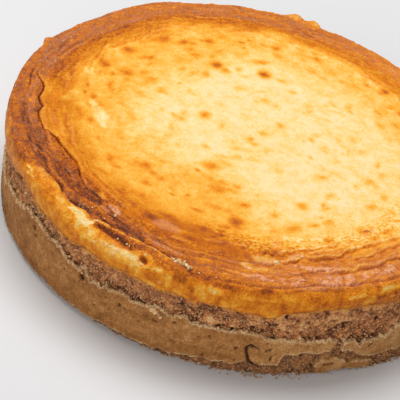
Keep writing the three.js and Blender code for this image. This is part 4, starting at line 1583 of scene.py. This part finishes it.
crust_skin = make_skin(skin_finish())
crust_crumb = make_crumb(crumb_finish())
for piece in (crust_skin, crust_crumb):
    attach(piece, "root")
    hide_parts("crumb_crust")

# %% [markdown]
# Loose crumbs gather along the foot, cling to the broken edge of the skin and to the torn crumb,
# and a few pale ones lie on the rim, some of them small ones that stand in for glints as painted
# highlights. Each is a small ball pushed out of round, and all of one kind are joined into one
# mesh, because the finished model can't hold instances.

# %% Lumpy crumbs
def crumb_ball(rounds):
    """Corners and faces of a ball, finer with each round."""
    mould = bmesh.new()
    bmesh.ops.create_icosphere(mould, subdivisions=rounds, radius=1.0)
    corners = np.array([vertex.co[:] for vertex in mould.verts])
    faces = np.array([[vertex.index for vertex in face.verts] for face in mould.faces])
    mould.free()
    return corners, faces


def add_crumbs(name, places, sizes, rounds, seed, material):
    """One mesh of lumpy crumbs at the given places, each of its own size and shape."""
    corners, faces = crumb_ball(rounds)
    draw = np.random.default_rng(seed)
    points = []
    for place, size in zip(places, sizes):
        squash = draw.uniform(0.6, 1.2, 3)
        bumps = 0.35 * grain(corners + draw.uniform(-50, 50, 3), 0.8, seed)
        shape = corners * squash * (1 + bumps[:, None])
        spin = Matrix.Rotation(draw.uniform(0, 6.28), 3, Vector(draw.normal(size=3)).normalized())
        points.append(shape @ np.array(spin) * size + place)
    offsets = np.arange(len(points))[:, None, None] * len(corners)
    all_faces = (faces[None] + offsets).reshape(-1, 3).tolist()
    shade = np.repeat(draw.uniform(0, 1, len(points)), len(corners))
    piece = add_mesh(name, np.concatenate(points), all_faces, {"shade": shade}, material)
    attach(piece, "root")
    return piece


def loose_finish(name, dark, light):
    finish = Finish(name)
    place = finish.place()
    tone = finish.look("shade") * 0.6 + finish.noise(place, 0.8, 2.0) * 0.5
    return finish.surface({
        "Base Color": finish.ramp(tone, [(0.15, dark), (0.85, light)]),
        "Roughness": 0.85,
        "Specular IOR Level": 0.15,
        "Normal": finish.bump(finish.noise(place, 0.5, 2.0), 0.3, 0.8),
    })


print("triangles of a crumb:", [len(crumb_ball(rounds)[1]) for rounds in (1, 2)])

# %% [markdown]
# Where the crumbs lie. They are scattered by chance from a fixed seed, thicker where the real
# cake sheds them, and the few that catch the eye are listed one by one.

# %% Places of the crumbs
FOOT_CRUMBS = 900
LIP_CRUMBS = 900
TORN_GRAINS = 8200

# The share of the torn grains that lie low at the front right, where the skin is gone
LOW_SHARE = 0.2

# Larger chunks that cling to the torn crumb, or to the skin below its edge: angle, height, size
CHUNKS = [
    (210.7, 28.6, 1.3), (217.6, 35.5, 1.1), (217.3, 27.2, 1.2), (218.6, 27.6, 0.9), (224.7, 30.7, 1),
    (236.4, 27.2, 0.8), (240.1, 25.3, 1.2), (240.9, 24.4, 0.9), (301.4, 21.4, 0.8), (303.6, 17.2, 0.8),
    (258.8, 25.5, 1.2), (259.4, 24.2, 1.4), (260.2, 23.6, 1.1), (260.7, 22.6, 0.9), (266.8, 23.1, 1),
    (268.6, 25.8, 0.8),
]

# Pale crumbs on the rim, some of them small ones that stand in for glints as painted highlights: angle,
# radius, height, size
RIM_CRUMBS_AND_GLINTS = [
    (260.6, 113.6, 50.2, 0.9), (261.3, 112.8, 50.5, 1.2), (261.9, 114, 50.3, 1), (262.5, 113, 50.6, 1.3),
    (263.2, 113.8, 50.5, 1.1), (263.8, 114.6, 50.2, 1.2), (264.4, 114.2, 50.4, 0.8),
    (260, 112.4, 50.2, 0.6), (246.5, 114, 48.4, 0.5), (249, 114, 48.3, 0.6), (249.8, 114.2, 48.3, 0.6),
    (254, 115.2, 48.6, 0.6), (259, 115.3, 48.9, 0.5), (266.3, 115, 49.4, 0.5), (241, 103, 48.9, 0.7),
    (235.8, 108, 49.6, 0.5), (240.2, 108.3, 48.9, 0.45), (259.5, 111.6, 49.9, 0.5),
    (221.5, 114.2, 49.6, 0.5), (217, 108, 49.2, 0.4), (270, 114.8, 49.5, 0.5),
]


def foot_places(draw):
    """Crumbs on the floor against the foot, and a few on the foot itself."""
    angle = draw.uniform(0, 360, FOOT_CRUMBS)
    size = 0.22 + 0.4 * draw.uniform(0, 1, FOOT_CRUMBS) ** 2.2
    strewn = draw.uniform(0, 1, FOOT_CRUMBS) ** 2 * (1.1 + 2.0 * stretch(angle, 272, 300, 8))
    out = TIN_RADIUS - 2.1 + around(FOOT_SPREAD, angle) + strewn
    height = size * 0.7 + draw.uniform(0, 1, FOOT_CRUMBS) * 1.8 * (out < TIN_RADIUS - 0.9)
    return round_points(angle, height, out), size


def lip_places(draw):
    """Crumbs along the broken upper edge of the skin, and the larger chunks."""
    angle = np.where(draw.uniform(0, 1, LIP_CRUMBS) < 0.6, draw.uniform(200, 335, LIP_CRUMBS),
                     draw.uniform(0, 360, LIP_CRUMBS))
    size = 0.25 + 0.6 * draw.uniform(0, 1, LIP_CRUMBS) ** 2
    height = skin_edge(angle) + draw.normal(-0.1, 0.55, LIP_CRUMBS)
    radius = TIN_RADIUS - draw.uniform(-0.3, 1.2, LIP_CRUMBS)
    chunks = np.array(CHUNKS).T
    sunk = np.where(chunks[1] < skin_edge(chunks[0]), 0.2, 1.2)
    places = np.concatenate([round_points(angle, height, radius),
                             round_points(chunks[0], chunks[1], TIN_RADIUS - sunk)])
    return places, np.concatenate([size, chunks[2]])


def torn_places(draw):
    """Grains that stand out of the torn crumb above the skin, and of the bare foot."""
    angle = draw.uniform(0, 360, TORN_GRAINS)
    share = draw.uniform(0, 1, TORN_GRAINS)
    height = blend(skin_edge(angle), joint_height(angle) - 0.8, share)
    low = draw.uniform(0, 1, TORN_GRAINS) < LOW_SHARE
    size = (0.3 + 0.45 * draw.uniform(0, 1, TORN_GRAINS) ** 2) * np.where(low, 0.75, 1.0)
    angle = np.where(low, 270 + 60 * share, angle)
    height = np.where(low, draw.uniform(0, 17, TORN_GRAINS), height)
    inset = CRUMB_INSET * (1 - 0.5 * share * (1 - low)) - foot_spread(angle, height)
    return round_points(angle, height, TIN_RADIUS - inset + draw.uniform(-0.3, 0.35, TORN_GRAINS)), size


chance = np.random.default_rng(55)
foot_crumbs = add_crumbs("foot_crumbs", *foot_places(chance), 2, 56,
                         loose_finish("loose_crumb", (0.36, 0.17, 0.07), (0.74, 0.48, 0.26)))
lip_crumbs = add_crumbs("lip_crumbs", *lip_places(chance), 2, 57,
                        loose_finish("edge_crumb", (0.36, 0.16, 0.06), (0.88, 0.58, 0.30)))
torn_grains = add_crumbs("torn_grains", *torn_places(chance), 1, 58,
                         loose_finish("torn_grain", (0.16, 0.06, 0.022), (0.80, 0.42, 0.19)))
# Pale rim crumbs, partly real crumbs and partly painted glints
at, where, high, size = np.array(RIM_CRUMBS_AND_GLINTS).T
rim_crumbs_and_glints = add_crumbs("rim_crumbs_and_glints", round_points(at, high, where), size, 2, 59,
                        loose_finish("pale_crumb_and_glint", (0.60, 0.30, 0.085), (0.98, 0.78, 0.46)))

# %% [markdown]
# A plain pale floor, and soft light. A broad light above the cake and a little behind it lights
# the top and leaves the side darker, as in the photo. A weaker one in front and to the left fills
# the side, and a faint white world fills what both miss.

# %% Floor and lights
FLOOR_SIZE = 6.0
FLOOR_STOPS = [(0.3, (0.735, 0.735, 0.74)), (0.7, (0.76, 0.76, 0.765))]
LIGHT_AIM = Vector((0, 0, 0.03))
WORLD_STRENGTH = 0.22


def add_floor():
    finish = Finish("pale_floor")
    material = finish.surface({
        "Base Color": finish.ramp(finish.noise(finish.place(), 400.0, 2.0), FLOOR_STOPS),
        "Roughness": 0.9,
        "Specular IOR Level": 0.0,
    })
    half = FLOOR_SIZE / 2 / MM
    corners = np.array([(-half, -half, 0), (half, -half, 0), (half, half, 0), (-half, half, 0)])
    return add_mesh("floor", corners, [(0, 1, 2, 3)], {}, material)


def add_light(name, place, size, power):
    """A soft light of a given width and height that faces the cake."""
    data = bpy.data.lights.new(name, "AREA")
    data.shape = "RECTANGLE"
    data.size, data.size_y = size
    data.energy = power
    light = bpy.data.objects.new(name, data)
    light.location = place
    light.rotation_euler = (LIGHT_AIM - Vector(place)).to_track_quat("-Z", "Y").to_euler()
    bpy.context.scene.collection.objects.link(light)
    print(name, "light:", power, "W")


def add_world():
    """A faint even light from all sides."""
    world = bpy.data.worlds.new("studio")
    world.use_nodes = True
    background = world.node_tree.nodes["Background"]
    background.inputs["Color"].default_value = (1.0, 1.0, 1.0, 1.0)
    background.inputs["Strength"].default_value = WORLD_STRENGTH
    bpy.context.scene.world = world


add_floor()
add_light("overhead", (-0.15, 0.30, 1.1), (0.9, 0.7), 12.0)
add_light("front_fill", (-0.3, -1.3, 0.7), (1.2, 0.8), 7.0)
add_world()
bpy.context.scene.view_settings.view_transform = "Standard"
